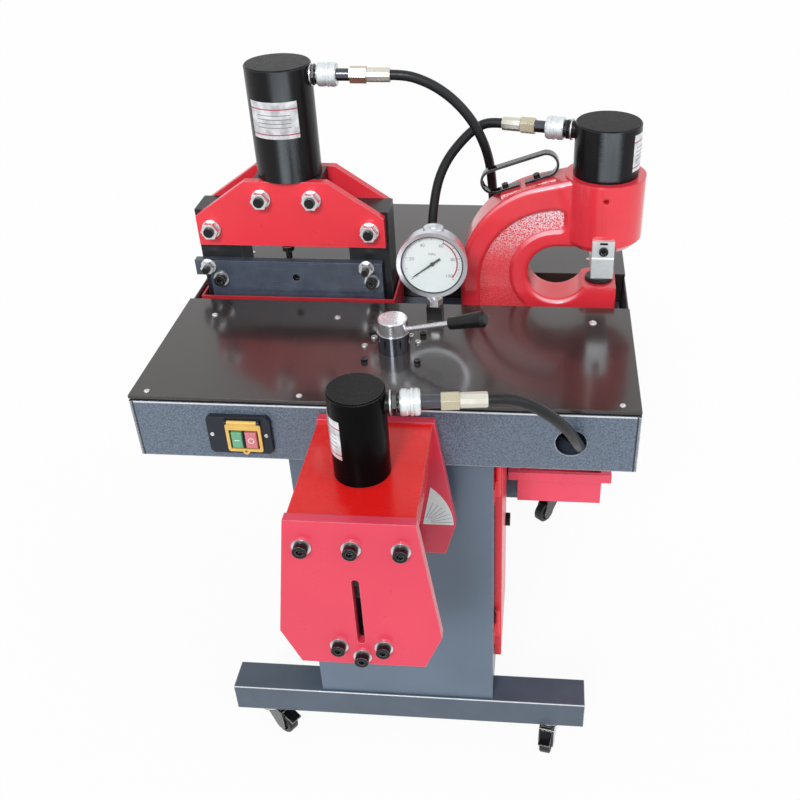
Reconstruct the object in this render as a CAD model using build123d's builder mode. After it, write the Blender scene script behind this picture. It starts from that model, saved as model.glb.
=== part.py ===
from build123d import *

import os
from math import cos, pi, radians, sin, sqrt, tan

# Busbar processing machine: a castored cabinet carries a sheet-metal table with a cutting head and a
# punching head on its bed, a bending head on its front, and one hand valve for the three cylinders.
# X runs to the right, Y to the back, Z up; the floor is at zero. Millimetres.

os.makedirs("parts", exist_ok=True)

# Reference: working height, and the table's front face
TABLE_TOP = 800.0
FRONT_Y = -243.0

# Clearances: running fit and bolt hole on the radius, gap between faces that pass each other
FIT = 0.05
HOLE_FIT = 0.2
PLAY = 0.3
SIDE_GAP = 0.5

# Table of bent sheet on a deck plate, with an inverted channel as the bed of the tool heads
SHEET = 2.0
TABLE_WIDTH = 720.0
TABLE_DEPTH = 690.0
APRON_HEIGHT = 104.0
COVER_LIP = 5.0
SHADOW_GAP = 3.0
BEND_R = 4.0
RETURN_FLANGE = 24.0
STIFFENER_WIDTH = 18.0
STIFFENER_INSET = 20.0
DECK = 10.0
TOOL_LINE = 347.0
BED_DEPTH = 116.0
BED_DROP = 52.0
BED_INSET = 8.0
BED_PLATE = 10.0
BED_LEG = 8.0
COVER_TO_BED = 2.0
FLANGE_INSET = 4.0

# Base of two foot bars on four casters
CASTER_HEIGHT = 70.0
BAR = 60.0
BAR_WALL = 4.0
BAR_LENGTH = 640.0
BAR_EDGE = 3.0
FRONT_BAR_SETBACK = 37.0
REAR_BAR_REACH = 42.0
BASE_PLATE = 8.0
CASTER_SPREAD = 520.0
CASTER_PLATE = 4.0
CASTER_PLATE_R = 28.0
STEM_R = 6.0
STEM_LENGTH = 22.0
KINGPIN_R = 5.0
KINGPIN_HEAD_R = 9.0
KINGPIN_HEAD = 3.0
CASTER_TRAIL = 25.0
WHEEL_R = 25.0
WHEEL_WIDTH = 20.0
WHEEL_EDGE = 2.0
WHEEL_RIM_R = 17.0
WHEEL_HUB_R = 8.0
WHEEL_WEB = 10.0
AXLE_R = 4.0
FORK_SHEET = 3.0
FORK_DISC_R = 27.0
FORK_ROOM = 1.0
AXLE_BOSS_R = 13.0
BRAKE_PIN_R = 2.5
BRAKE_BOSS_R = 4.5
BRAKE_EYE_R = 6.0
BRAKE_OUT = 4.0
BRAKE_UP = 31.0
BRAKE_LENGTH = 32.0
BRAKE_THICK = 4.0
BRAKE_DROOP = 12.0
SWIVEL = {"fl": -35.0, "fr": -100.0, "rl": -35.0, "rr": -130.0}

# Cabinet column, side door, latch and scrap pan
COLUMN_WIDTH = 310.0
COLUMN_SETBACK = 43.0
COLUMN_DEPTH = 617.0
COLUMN_FLANGE = 20.0
DOOR_SETBACK = 50.0
DOOR_WIDTH = 174.0
DOOR_HEIGHT = 500.0
DOOR_TOP_GAP = 6.0
DOOR_DEPTH = 12.0
DOOR_LAP = 10.0
HINGE_R = 4.5
HINGE_PIN_R = 2.5
HINGE_OFFSET = 5.5
HINGE_KNUCKLE = 30.0
HINGE_LEAF = 24.0
HINGE_INSET = 90.0
LATCH_INSET = 21.0
LATCH_DROP = 310.0
LATCH_SHAFT_R = 5.0
LATCH_KNOB_R = 12.0
LATCH_KNOB = 8.0
LATCH_RIBS = 12
LATCH_RIB_R = 1.5
LATCH_CAM_LENGTH = 30.0
LATCH_CAM_WIDTH = 12.0
LATCH_CAM = 3.0
PAN_GAP = 15.0
PAN_LENGTH = 185.0
PAN_DEPTH = 175.0
PAN_SETBACK = 275.0
PAN_DROP = 334.0
PAN_RIM = 17.0
PAN_RIM_OUT = 17.0
PAN_RIM_FRONT = 6.0
PAN_BODY = 52.0
SHELF = 3.0
SHELF_LENGTH = 145.0
SHELF_INSET = 27.0
GUSSET_HEIGHT = 40.0

# Power pack inside the cabinet
TANK_WIDTH = 220.0
TANK_DEPTH = 280.0
TANK_HEIGHT = 160.0
TANK_SETBACK = 77.0
TANK_LID = 10.0
TANK_LID_LAP = 6.0
TANK_EDGE = 12.0
FILLER_R = 22.0
FILLER_HEIGHT = 24.0
MOTOR_R = 62.0
MOTOR_LENGTH = 170.0
MOTOR_BELL = 22.0
MOTOR_FIN = 7.0
MOTOR_FIN_THICK = 4.0
MOTOR_FIN_ROOT = 7.0
MOTOR_FINS = 20
MOTOR_AXIS_UP = 85.0
MOTOR_FOOT_WIDTH = 110.0
MOTOR_FOOT_THICK = 12.0
MOTOR_SETBACK = 85.0
PUMP_WIDTH = 88.0
PUMP_DEPTH = 64.0

# Cutting head: two shaped plates bolted over two columns and a head block
CUTTER_INSET = 178.0
TRAY = 3.0
TRAY_LENGTH = 324.0
TRAY_DEPTH = 100.0
CUT_PLATE = 14.0
CUT_BLOCK_DEPTH = 56.0
CUT_COLUMN_IN = 89.0
CUT_COLUMN_OUT = 156.0
CUT_COLUMN_HEIGHT = 193.0
CUT_PLATE_TOP_HALF = 65.0
CUT_PLATE_HALF = 151.0
CUT_PLATE_TOP = 246.0
CUT_PLATE_SHOULDER = 187.0
CUT_PLATE_BOTTOM = 138.0
CUT_HEAD_HALF = 53.0
CUT_HEAD_HEIGHT = 57.0
CUT_CYLINDER_R = 50.0
CUT_CYLINDER = 170.0
CUT_ROD_R = 20.0
CUT_STROKE = 40.0
CUT_RAM_HEIGHT = 40.0
CUT_RAM_BOTTOM = 146.0
CUT_STUD_UP = 219.0
CUT_STUD_OUT = 40.0
CUT_STUD_LOW_UP = 167.0
CUT_STUD_LOW_OUT = 127.5
CUT_STUD_R = 8.0
CUT_STUD_PROUD = 20.0
JAW_HALF = 143.0
JAW_HEIGHT = 110.0
STOP_OUT = 23.0
STOP_HEIGHT = 26.0
REAR_JAW_HEIGHT = 71.0
JAW_HOLE_R = 6.0
JAW_HOLE_UP = 82.0
JAW_HOLE_DEPTH = 8.0
JAW_STUD_R = 6.0
JAW_STUD_DEPTH = 30.0
JAW_STUDS = ((-143.0, 101.0), (118.0, 103.0))
JAW_SCREWS = ((-125.5, 78.5), (125.5, 78.5))
JAW_STUD_PROUD = 22.0
HOLD_DOWN_X = -8.0
HOLD_DOWN_R = 5.0
HOLD_DOWN_HEAD_R = 9.5
HOLD_DOWN_HEAD = 8.0
HOLD_DOWN_DROP = 22.0

# Punching head: cast C-frame round its throat
PUNCH_INSET = 49.0
FRAME_THICK = 72.0
FRAME_EDGE = 9.0
ARCH_REACH = 68.0
ARCH_UP = 90.0
ARCH_R = 156.0
ARCH_RIM = 31.0
TOP_SLOPE = 13.0
THROAT_REACH = 69.0
THROAT_UP = 97.0
THROAT_R = 47.0
THROAT_RIM = 29.0
WEB_DEPTH = 8.0
WEB_DROP = 10.0
WEB_DRAFT = 5.0
WEB_END = 8.0
WEB_FOOT = 30.0
WEB_CORNER = 8.0
JAW_TOP = 75.0
JAW_OVERHANG = 27.0
PUNCH_HEAD_R = 62.0
PUNCH_HEAD_TOP = 255.0
PUNCH_HEAD_TAPER = 12.0
VENT_R = 4.0
VENT_DEPTH = 12.0
VENT_DROP = 22.0
PUNCH_CYLINDER_R = 50.0
PUNCH_CYLINDER = 80.5
PUNCH_ROD_R = 18.0
PUNCH_TIP_R = 8.5
PUNCH_TIP = 34.0
PUNCH_STROKE = 40.0
DIE_R = 22.0
DIE_HEIGHT = 20.0
DIE_SEAT = 14.0
DIE_HOLE_R = 9.0
SLUG_R = 15.0
BED_SLUG_R = 20.0
STRIPPER_WIDTH = 34.0
STRIPPER_THICK = 10.0
STRIPPER_FOOT = 7.0
STRIPPER_FOOT_REACH = 22.0
STRIPPER_DROP = 33.0
STRIPPER_RISE = 28.0
STRIPPER_STEP = 2.0
STRIPPER_HOLE_R = 11.0
STRIPPER_FLAT = 2.0
PAD_ANGLE = 19.0
PAD_LENGTH = 88.0
PAD_WIDTH = 40.0
PAD_DEPTH = 14.0
HANDLE_LENGTH = 126.0
HANDLE_HEIGHT = 40.0
HANDLE_STRAP = 4.0
HANDLE_WIDTH = 14.0
HANDLE_SHIFT = -7.0
HANDLE_GAP = 8.0
HANDLE_GAP_AT = -8.0
HANDLE_SCREWS = (-35.0, 16.0)

# Bending head: two plates with a guide block and a V die between them
BENDER_X = -5.0
BEND_PLATE = 14.0
BEND_PLATE_GAP = 196.0
BENDER_CLEAR = 3.0
BEND_TOP_HALF = 82.0
BEND_SIDE_HALF = 108.0
BEND_SHOULDER = 195.0
BEND_PLATE_HEIGHT = 253.0
BEND_FRONT_DROP = 18.0
BEND_BOTTOM_HALF = 84.0
BEND_REAR_SHOULDER = 185.0
BEND_REAR_HEIGHT = 243.0
BEND_REAR_BOTTOM_HALF = 92.0
BEND_HEAD_HALF = 80.0
BEND_HEAD_TOP = 2.0
BEND_HEAD = 12.0
GUIDE_HALF = 75.0
GUIDE_HEIGHT = 50.0
BEND_AXIS_BACK = 91.0
BEND_CYLINDER_R = 37.0
BEND_CYLINDER = 127.0
BEND_ROD_R = 20.0
BEND_STROKE = 65.0
BEND_NOSE_DROP = 142.0
NOSE_HALF = 24.0
NOSE_BLOCK = 32.0
NOSE_TIP_HALF = 3.0
V_DIE_HALF = 55.0
V_DIE_TOP = 182.0
V_WIDTH = 64.0
V_DEPTH = 32.0
SLOT_HALF = 5.0
SLOT_TOP = 96.0
SLOT_BOTTOM = 213.0
GUIDE_PIN_R = 4.5
GUIDE_PIN = 7.0
GUIDE_PIN_DROP = 109.0
BEND_SCREW_R = 6.0
BEND_SCREW_DEPTH = 34.0
BEND_SCREW_OUT = 62.0
BEND_SCREW_DROP = 41.0
DIE_SCREWS = ((-30.0, -217.0), (30.0, -217.0), (0.0, -236.0))
BRACKET_HALF = 60.0
BRACKET_HEIGHT = 136.0

# Pistons inside the cylinders
PISTON_THICK = 18.0
PISTON_END = 1.0
CYLINDER_WALL = 12.0
CYLINDER_EDGE = 2.0
PORT_DEPTH = 5.0

# Hexagon nuts, washers and socket screws
NUT_R16 = 12.0
NUT_16 = 13.0
WASHER_R16 = 15.0
NUT_R12 = 9.5
NUT_12 = 10.0
WASHER_R12 = 12.5
WASHER = 3.0
SCREW_HEAD_R = 9.5
SCREW_HEAD = 10.0
SCREW_SOCKET_R = 5.0
SCREW_SOCKET = 6.0
SMALL_HEAD_R = 5.0
SMALL_HEAD = 6.0
SMALL_SOCKET_R = 2.5
SMALL_SOCKET = 3.0

# Hand valve and lever
VALVE_SETBACK = 147.5
VALVE_R = 24.0
VALVE_NECK = 30.0
VALVE_BASE = 90.0
VALVE_BASE_HEIGHT = 86.0
VALVE_SCREW_SPACING = 79.0
SPINDLE_R = 7.0
SPINDLE_DEPTH = 20.0
HUB_R = 22.5
HUB_HEIGHT = 21.7
HUB_EDGE = 2.0
LEVER_R = 4.25
LEVER_REACH = 105.0
LEVER_START = 18.0
LEVER_SLOPE = 20.0
LEVER_SWING = -20.0
LEVER_UP = -0.8
GRIP_LENGTH = 59.0
GRIP_R_IN = 9.0
GRIP_R_OUT = 12.0
GRIP_EDGE = 4.0
GRIP_SEAT = 4.0

# Pressure gauge
GAUGE_X = 52.0
GAUGE_UP = 100.0
GAUGE_SETBACK = 224.0
BEZEL_R = 54.0
BEZEL_DEPTH = 10.0
BEZEL_LIP = 2.0
BEZEL_OPENING_R = 47.8
GAUGE_R = 50.0
GAUGE_DEPTH = 34.0
GAUGE_EDGE = 4.0
DIAL_R = 49.2
DIAL_THICK = 1.5
DIAL_DEPTH = 9.0
LENS_THICK = 2.0
GAUGE_BACK = 4.0
NEEDLE_LENGTH = 38.0
NEEDLE_TAIL = 15.0
NEEDLE_HALF = 1.8
NEEDLE_POINT_HALF = 0.5
NEEDLE_HUB_R = 3.2
NEEDLE_THICK = 1.0
NEEDLE_SPINDLE_R = 1.5
NEEDLE_ANGLE = 216.5
NEEDLE_STANDOFF = 2.5
GAUGE_BOSS_R = 9.0
GAUGE_BOSS_DROP = 2.0
GAUGE_STEM_R = 6.0
GAUGE_NUT_R = 11.0
GAUGE_NUT = 10.0
GAUGE_BLOCK = 25.0
GAUGE_BLOCK_HEIGHT = 24.0

# Switch on the apron
SWITCH_X = -204.5
SWITCH_DROP = 57.5
SWITCH_WIDTH = 92.0
SWITCH_HEIGHT = 63.0
SWITCH_PLATE = 8.0
SWITCH_CUT = 5.0
SWITCH_BOX_WIDTH = 63.0
SWITCH_BOX_HEIGHT = 56.0
SWITCH_BOX_DEPTH = 44.0
SWITCH_BOX_WALL = 2.5
BUTTON_HEIGHT = 27.0
BUTTON_START_WIDTH = 15.5
BUTTON_STOP_WIDTH = 17.0
BUTTON_START_AT = -3.3
BUTTON_STOP_AT = 17.4
BUTTON_DROP = 5.4
BUTTON_PROUD = 5.5
BUTTON_LENGTH = 19.0
BUTTON_FLANGE = 2.0
BUTTON_GAP = 0.5
FLAP_WIDTH = 51.0
FLAP_HEIGHT = 48.0
FLAP_AT = 7.0
FLAP_TOP = 21.6
FLAP_THICK = 3.0
FLAP_ROOM = 0.5
FLAP_FRAME = 4.0
FLAP_HINGE_R = 3.0
FLAP_PIN_R = 1.5
FLAP_EAR = 4.0
FLAP_TAB_R = 5.0
FLAP_TAB_HOLE_R = 2.0
FLAP_WINDOW_WIDTH = 42.0
FLAP_WINDOW_HEIGHT = 33.0

# Hoses, couplers and bulkhead fittings
HOSE_R = 7.5
BEND_SHARE = 0.45
COUPLER_BOSS_R = 13.0
COUPLER_RING_R = 16.0
COUPLER_TUBE_R = 9.0
COUPLER_NUT_R = 11.0
FERRULE_R = 9.5
CUTTER_COUPLER = (15.0, 28.0, 20.0, 25.0, 35.0)
PUNCH_COUPLER = (22.3, 27.2, 18.1, 22.1, 29.2)
BENDER_COUPLER = (22.0, 25.0, 25.0, 23.0, 35.0)
CUTTER_PORT_DROP = 18.0
PUNCH_PORT_DROP = 17.5
BENDER_PORT_DROP = 23.0
PUNCH_COUPLER_TURN = 13.0
BENDER_COUPLER_TURN = 6.5
BULKHEAD_R = 9.5
BULKHEAD_HEX = 12.0
BULKHEAD_STUB = 18.0
CUTTER_BULKHEAD = (321.0, 394.5)
PUNCH_BULKHEAD = (-273.0, 347.0)
VALVE_PORT_HEX = 13.0
VALVE_PORT_STUB = 14.0
VALVE_PORT_AT = -29.5
VALVE_PORT_DROP = 75.0
HOSE_HOLE_R = 22.0
HOSE_HOLE_X = 266.0
HOSE_HOLE_DROP = 57.0

# Cable gland on the back of the skirt
GLAND_INSET = 110.0
GLAND_DROP = 60.0
GLAND_BORE_R = 6.5
GLAND_THREAD_R = 10.0
GLAND_HEX_R = 13.0
GLAND_HEX = 8.0
GLAND_CAP_R = 12.0
GLAND_CAP = 13.0
GLAND_LOCKNUT = 5.0

# Hose routes between their straight ends: right of the head's axis or, for the bender, of the middle,
# behind the front face, above the table top
CUTTER_LEAD = 18.0
PUNCH_LEAD = 20.0
BENDER_LEAD = 18.0
CUTTER_LEAD_IN = 34.0
PUNCH_LEAD_IN = 30.0
BENDER_LEAD_IN = 28.0
CUTTER_ROUTE = (
    (208, 347, 344.5),
    (236, 347, 332),
    (264, 347, 311),
    (288, 347, 283),
    (304, 353, 250),
    (313, 367, 214),
    (316, 385, 176),
    (318, 396, 136),
    (319.5, 399, 94),
    (320.5, 398.5, 52),
)
PUNCH_ROUTE = (
    (-196.5, 389.5, 260),
    (-212, 388.5, 248.5),
    (-227.5, 386.5, 232.5),
    (-243, 384.5, 213.3),
    (-255, 380.5, 192.5),
    (-263.5, 375.5, 169.5),
    (-269, 368.5, 141.2),
    (-272.2, 359, 109.9),
    (-273.2, 351.5, 75.3),
    (-273.2, 348, 40),
)
BENDER_ROUTE = (
    (192, -97.5, 79.5),
    (208, -92.5, 70.5),
    (223.5, -87, 58),
    (236, -81, 45),
    (247.5, -73.5, 30),
    (257.5, -64.5, 13),
    (266, -53, -7),
    (273, -37, -30),
    (278, -13, -54),
    (278, 14, -70),
    (266, 47, -79),
    (243, 77, -82),
    (211, 98, -82),
    (174, 110.5, -81),
    (136, 116, -78.5),
)


def back(distance):
    """Y of a place this far behind the table's front face."""
    return FRONT_Y + distance


def upright(y):
    """Plane at depth y that faces the front: sketch x is right, sketch y is up, extrusion comes forward."""
    return Plane.XZ.offset(-y)


def sideways(x):
    """Plane at x that faces right: sketch x runs to the back, sketch y is up, extrusion goes right."""
    return Plane.YZ.offset(x)


def block(x_low, x_high, y_low, y_high, z_low, z_high, mode=Mode.ADD):
    """A block between two opposite corners, in the part that is being built."""
    with Locations(((x_low + x_high) / 2, (y_low + y_high) / 2, (z_low + z_high) / 2)):
        Box(x_high - x_low, y_high - y_low, z_high - z_low, mode=mode)


def round_bar(plane, x, y, radius, length, mode=Mode.ADD):
    """A round bar from a plane, in the part that is being built."""
    with BuildSketch(plane) as section:
        with Locations((x, y)):
            Circle(radius)
    extrude(section.sketch, amount=length, mode=mode)


def turned(points):
    """A turned piece about Z from its half section, as radius and height."""
    with BuildPart() as lathe:
        with BuildSketch(Plane.XZ) as half:
            with BuildLine():
                Polyline(*points, close=True)
            make_face()
        revolve(half.sketch, axis=Axis.Z)
    return lathe.part


def cylinder_shell(radius, length, stroke):
    """A hydraulic cylinder on Z from its seat at zero, bored for its piston."""
    bore_r = radius - CYLINDER_WALL
    bore_top = stroke + PISTON_THICK + 2 * PISTON_END
    with BuildPart() as shell:
        with BuildSketch():
            Circle(radius)
        extrude(amount=length)
        chamfer(shell.edges().group_by(Axis.Z)[-1], CYLINDER_EDGE)
        with BuildSketch():
            Circle(bore_r)
        extrude(amount=bore_top, mode=Mode.SUBTRACT)
    return shell.part


def piston_rod(radius, rod_r, stroke, rod_bottom):
    """A rod with its piston at the top of the stroke, measured from the cylinder's seat."""
    piston_bottom = stroke + PISTON_END
    with BuildPart() as rod:
        with BuildSketch(Plane.XY.offset(rod_bottom)):
            Circle(rod_r)
        extrude(amount=piston_bottom - rod_bottom + PISTON_THICK)
        with BuildSketch(Plane.XY.offset(piston_bottom)):
            Circle(radius - CYLINDER_WALL - 2 * FIT)
        extrude(amount=PISTON_THICK)
    return rod.part


def nut_and_washer(nut_r, nut, washer_r, stud_r):
    """A nut on its washer, facing the front, bored for its stud; the washer lies on a face at zero."""
    with BuildPart() as pair:
        with BuildSketch(Plane.XZ):
            Circle(washer_r)
            Circle(stud_r + HOLE_FIT, mode=Mode.SUBTRACT)
        extrude(amount=WASHER)
        with BuildSketch(Plane.XZ.offset(WASHER)):
            RegularPolygon(nut_r, 6, major_radius=False)
            Circle(stud_r + HOLE_FIT, mode=Mode.SUBTRACT)
        extrude(amount=nut)
    return pair.part


def socket_screw(head_r, head, socket_r, socket, shank_r, shank):
    """A socket screw along +Y; its head stands on a face at zero and points to the front."""
    with BuildPart() as screw:
        with BuildSketch(Plane.XZ):
            Circle(head_r)
        extrude(amount=head)
        with BuildSketch(Plane.XZ.offset(head)):
            RegularPolygon(socket_r, 6)
        extrude(amount=-socket, mode=Mode.SUBTRACT)
        if shank:
            with BuildSketch(Plane.XZ):
                Circle(shank_r)
            extrude(amount=-shank)
    return screw.part


# Levels and planes that follow from the sizes above
deck_bottom = TABLE_TOP - APRON_HEIGHT
deck_top = deck_bottom + DECK
bed_top = TABLE_TOP - BED_DROP
skirt_top = TABLE_TOP - COVER_LIP - SHADOW_GAP
half_width = TABLE_WIDTH / 2
cutter_x = CUTTER_INSET - half_width
punch_x = half_width - PUNCH_INSET
gland_x = GLAND_INSET - half_width
table_back = back(TABLE_DEPTH)
tool_y = back(TOOL_LINE)
front_cover_back = tool_y - BED_DEPTH / 2 - COVER_TO_BED
rear_cover_front = tool_y + BED_DEPTH / 2 + COVER_TO_BED
base_top = CASTER_HEIGHT + BAR
front_bar_y = back(FRONT_BAR_SETBACK) + BAR / 2
rear_bar_y = table_back + REAR_BAR_REACH - BAR / 2
column_half = COLUMN_WIDTH / 2
column_front = back(COLUMN_SETBACK)
column_back = column_front + COLUMN_DEPTH
column_y = (column_front + column_back) / 2
caster_places = {
    "fl": (-CASTER_SPREAD / 2, front_bar_y),
    "fr": (CASTER_SPREAD / 2, front_bar_y),
    "rl": (-CASTER_SPREAD / 2, rear_bar_y),
    "rr": (CASTER_SPREAD / 2, rear_bar_y),
}

# Base frame: two capped square tubes and the plate that joins them
with BuildPart() as base_frame:
    for bar_y in (front_bar_y, rear_bar_y):
        with Locations((0, bar_y, CASTER_HEIGHT + BAR / 2)):
            Box(BAR_LENGTH, BAR, BAR)
    fillet(base_frame.edges().filter_by(Axis.X), BAR_EDGE)
    with BuildSketch(Plane.XY.offset(base_top - BASE_PLATE)):
        with Locations((0, (front_bar_y + rear_bar_y) / 2)):
            Rectangle(COLUMN_WIDTH, rear_bar_y - front_bar_y)
    extrude(amount=BASE_PLATE)
    for bar_y in (front_bar_y, rear_bar_y):
        with Locations((0, bar_y, CASTER_HEIGHT + BAR / 2)):
            Box(BAR_LENGTH - 2 * BAR_WALL, BAR - 2 * BAR_WALL, BAR - 2 * BAR_WALL, mode=Mode.SUBTRACT)
    with BuildSketch(Plane.XY.offset(CASTER_HEIGHT)):
        with Locations(*caster_places.values()):
            Circle(STEM_R + HOLE_FIT)
    extrude(amount=BAR_WALL, mode=Mode.SUBTRACT)
base_frame.part.label = "base_frame"
export_step(base_frame.part, "parts/base_frame.step")

# Caster plates: threaded stem, plate and kingpin of each caster
plate_bottom = CASTER_HEIGHT - CASTER_PLATE
fork_top = plate_bottom - PLAY
fork_bottom = fork_top - FORK_SHEET
kingpin_seat = fork_bottom - PLAY
kingpin = turned(
    [
        (0, kingpin_seat - KINGPIN_HEAD),
        (KINGPIN_HEAD_R, kingpin_seat - KINGPIN_HEAD),
        (KINGPIN_HEAD_R, kingpin_seat),
        (KINGPIN_R, kingpin_seat),
        (KINGPIN_R, plate_bottom),
        (CASTER_PLATE_R, plate_bottom),
        (CASTER_PLATE_R, CASTER_HEIGHT),
        (STEM_R, CASTER_HEIGHT),
        (STEM_R, CASTER_HEIGHT + STEM_LENGTH),
        (0, CASTER_HEIGHT + STEM_LENGTH),
    ]
)
with BuildPart() as caster_plates:
    with Locations(*[(x, y, 0) for x, y in caster_places.values()]):
        add(kingpin)
caster_plates.part.label = "caster_plates"
export_step(caster_plates.part, "parts/caster_plates.step")

# Caster forks, wheels and foot brakes, each shaped about its kingpin and then swung to its place
cheek_inner = WHEEL_WIDTH / 2 + FORK_ROOM
cheek_outer = cheek_inner + FORK_SHEET
axle_z = WHEEL_R
hub_half = cheek_inner - PLAY
brake_pivot = (CASTER_TRAIL + BRAKE_OUT, axle_z + BRAKE_UP)


def fork(braked):
    """Pressed fork with its axle, and the brake's pin where there is one."""
    with BuildPart() as shape:
        with BuildSketch(Plane.XY.offset(fork_bottom)):
            Circle(FORK_DISC_R)
            Circle(KINGPIN_R + FIT, mode=Mode.SUBTRACT)
        extrude(amount=FORK_SHEET)
        for cheek_back in (-cheek_inner, cheek_outer):
            with BuildSketch(upright(cheek_back)):
                with Locations((CASTER_TRAIL, axle_z)):
                    Circle(AXLE_BOSS_R)
                with Locations((0, fork_bottom + FORK_SHEET / 2)):
                    Rectangle(2 * sqrt(FORK_DISC_R**2 - cheek_outer**2), FORK_SHEET)
                if braked:
                    with Locations(brake_pivot):
                        Circle(BRAKE_EYE_R)
                make_hull()
            extrude(amount=FORK_SHEET)
        round_bar(upright(cheek_outer), CASTER_TRAIL, axle_z, AXLE_R, 2 * cheek_outer)
        if braked:
            round_bar(upright(cheek_outer), *brake_pivot, BRAKE_PIN_R, 2 * cheek_outer)
    return shape.part


def wheel():
    """Tyre, web and hub in one turned piece, on the axle."""
    bore_r = AXLE_R + FIT
    tread_half = WHEEL_WIDTH / 2
    half_side = [
        (bore_r, hub_half),
        (WHEEL_HUB_R, hub_half),
        (WHEEL_HUB_R, WHEEL_WEB / 2),
        (WHEEL_RIM_R, WHEEL_WEB / 2),
        (WHEEL_RIM_R, tread_half),
        (WHEEL_R - WHEEL_EDGE, tread_half),
        (WHEEL_R, tread_half - WHEEL_EDGE),
    ]
    section = half_side + [(r, -y) for r, y in reversed(half_side)]
    return turned(section).rotate(Axis.X, 90).moved(Location((CASTER_TRAIL, 0, axle_z)))


def brake():
    """Foot pedal on its pin between the fork's cheeks."""
    pedal_plane = Plane(
        origin=(brake_pivot[0], hub_half, brake_pivot[1]),
        x_dir=(cos(radians(BRAKE_DROOP)), 0, -sin(radians(BRAKE_DROOP))),
        z_dir=(0, -1, 0),
    )
    with BuildPart() as pedal:
        with BuildSketch(pedal_plane):
            Circle(BRAKE_BOSS_R)
            with Locations((BRAKE_LENGTH / 2, 0)):
                Rectangle(BRAKE_LENGTH, BRAKE_THICK)
            Circle(BRAKE_PIN_R + FIT, mode=Mode.SUBTRACT)
        extrude(amount=2 * hub_half)
    return pedal.part


for corner, (caster_x, caster_y) in caster_places.items():
    swung = Location((caster_x, caster_y, 0), (0, 0, SWIVEL[corner]))
    braked = corner in ("fl", "fr")
    pieces = {"fork": fork(braked), "wheel": wheel()}
    if braked:
        pieces["brake"] = brake()
    for piece_name, piece in pieces.items():
        placed = piece.moved(swung)
        placed.label = f"caster_{piece_name}_{corner}"
        export_step(placed, f"parts/caster_{piece_name}_{corner}.step")

# Cabinet shell: folded sheet column with the door opening, the hinge leaves and the pan bracket
wall_x = column_half
door_front = column_front + DOOR_SETBACK
door_back = door_front + DOOR_WIDTH
door_top = deck_bottom - DOOR_TOP_GAP
door_bottom = door_top - DOOR_HEIGHT
door_mid_y = (door_front + door_back) / 2
door_mid_z = (door_top + door_bottom) / 2
door_inner = wall_x + SIDE_GAP
door_outer = door_inner + DOOR_DEPTH
hinge_x = wall_x + HINGE_OFFSET
hinge_y = door_front - HINGE_OFFSET
hinge_heights = (door_bottom + HINGE_INSET, door_top - HINGE_INSET)
pan_left = wall_x + PAN_GAP
pan_right = pan_left + PAN_LENGTH
pan_front = back(PAN_SETBACK)
pan_back = pan_front + PAN_DEPTH
pan_top = TABLE_TOP - PAN_DROP
pan_body_top = pan_top - PAN_RIM
pan_bottom = pan_body_top - PAN_BODY
shelf_front = pan_front + SHELF_INSET
shelf_back = pan_back - SHELF_INSET
flange_open_x = COLUMN_WIDTH - 2 * COLUMN_FLANGE
flange_open_y = COLUMN_DEPTH - 2 * COLUMN_FLANGE

with BuildPart() as cabinet_shell:
    with BuildSketch(Plane.XY.offset(base_top)):
        with Locations((0, column_y)):
            Rectangle(COLUMN_WIDTH, COLUMN_DEPTH)
            Rectangle(COLUMN_WIDTH - 2 * SHEET, COLUMN_DEPTH - 2 * SHEET, mode=Mode.SUBTRACT)
    extrude(amount=deck_bottom - base_top)
    for flange_z in (base_top, deck_bottom - SHEET):
        with BuildSketch(Plane.XY.offset(flange_z)):
            with Locations((0, column_y)):
                Rectangle(COLUMN_WIDTH - SHEET, COLUMN_DEPTH - SHEET)
                Rectangle(flange_open_x, flange_open_y, mode=Mode.SUBTRACT)
        extrude(amount=SHEET)
    with BuildSketch(sideways(wall_x - SHEET)):
        with Locations((door_mid_y, door_mid_z)):
            Rectangle(DOOR_WIDTH - 2 * DOOR_LAP, DOOR_HEIGHT - 2 * DOOR_LAP)
    extrude(amount=SHEET, mode=Mode.SUBTRACT)
    for hinge_z in hinge_heights:
        with BuildSketch(Plane.XY.offset(hinge_z - HINGE_KNUCKLE)):
            with Locations((hinge_x, hinge_y)):
                Circle(HINGE_R)
            with Locations((wall_x + SHEET / 2, hinge_y - HINGE_LEAF / 2)):
                Rectangle(SHEET, HINGE_LEAF)
            with Locations(((wall_x + hinge_x) / 2, hinge_y - HINGE_R + SHEET / 2)):
                Rectangle(hinge_x - wall_x, SHEET)
        extrude(amount=HINGE_KNUCKLE)
        round_bar(Plane.XY.offset(hinge_z), hinge_x, hinge_y, HINGE_PIN_R, HINGE_KNUCKLE)
    block(wall_x, wall_x + SHELF_LENGTH, shelf_front, shelf_back, pan_bottom - SHELF, pan_bottom)
    for gusset_back in (shelf_front + SHELF, shelf_back):
        with BuildSketch(upright(gusset_back)):
            with BuildLine():
                Polyline(
                    (wall_x, pan_bottom),
                    (wall_x, pan_bottom + GUSSET_HEIGHT),
                    (pan_left + PAN_RIM_OUT - SIDE_GAP, pan_bottom + GUSSET_HEIGHT),
                    (pan_left + PAN_RIM_OUT - SIDE_GAP, pan_bottom),
                    close=True,
                )
            make_face()
        extrude(amount=SHELF)
cabinet_shell.part.label = "cabinet_shell"
export_step(cabinet_shell.part, "parts/cabinet_shell.step")

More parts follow.
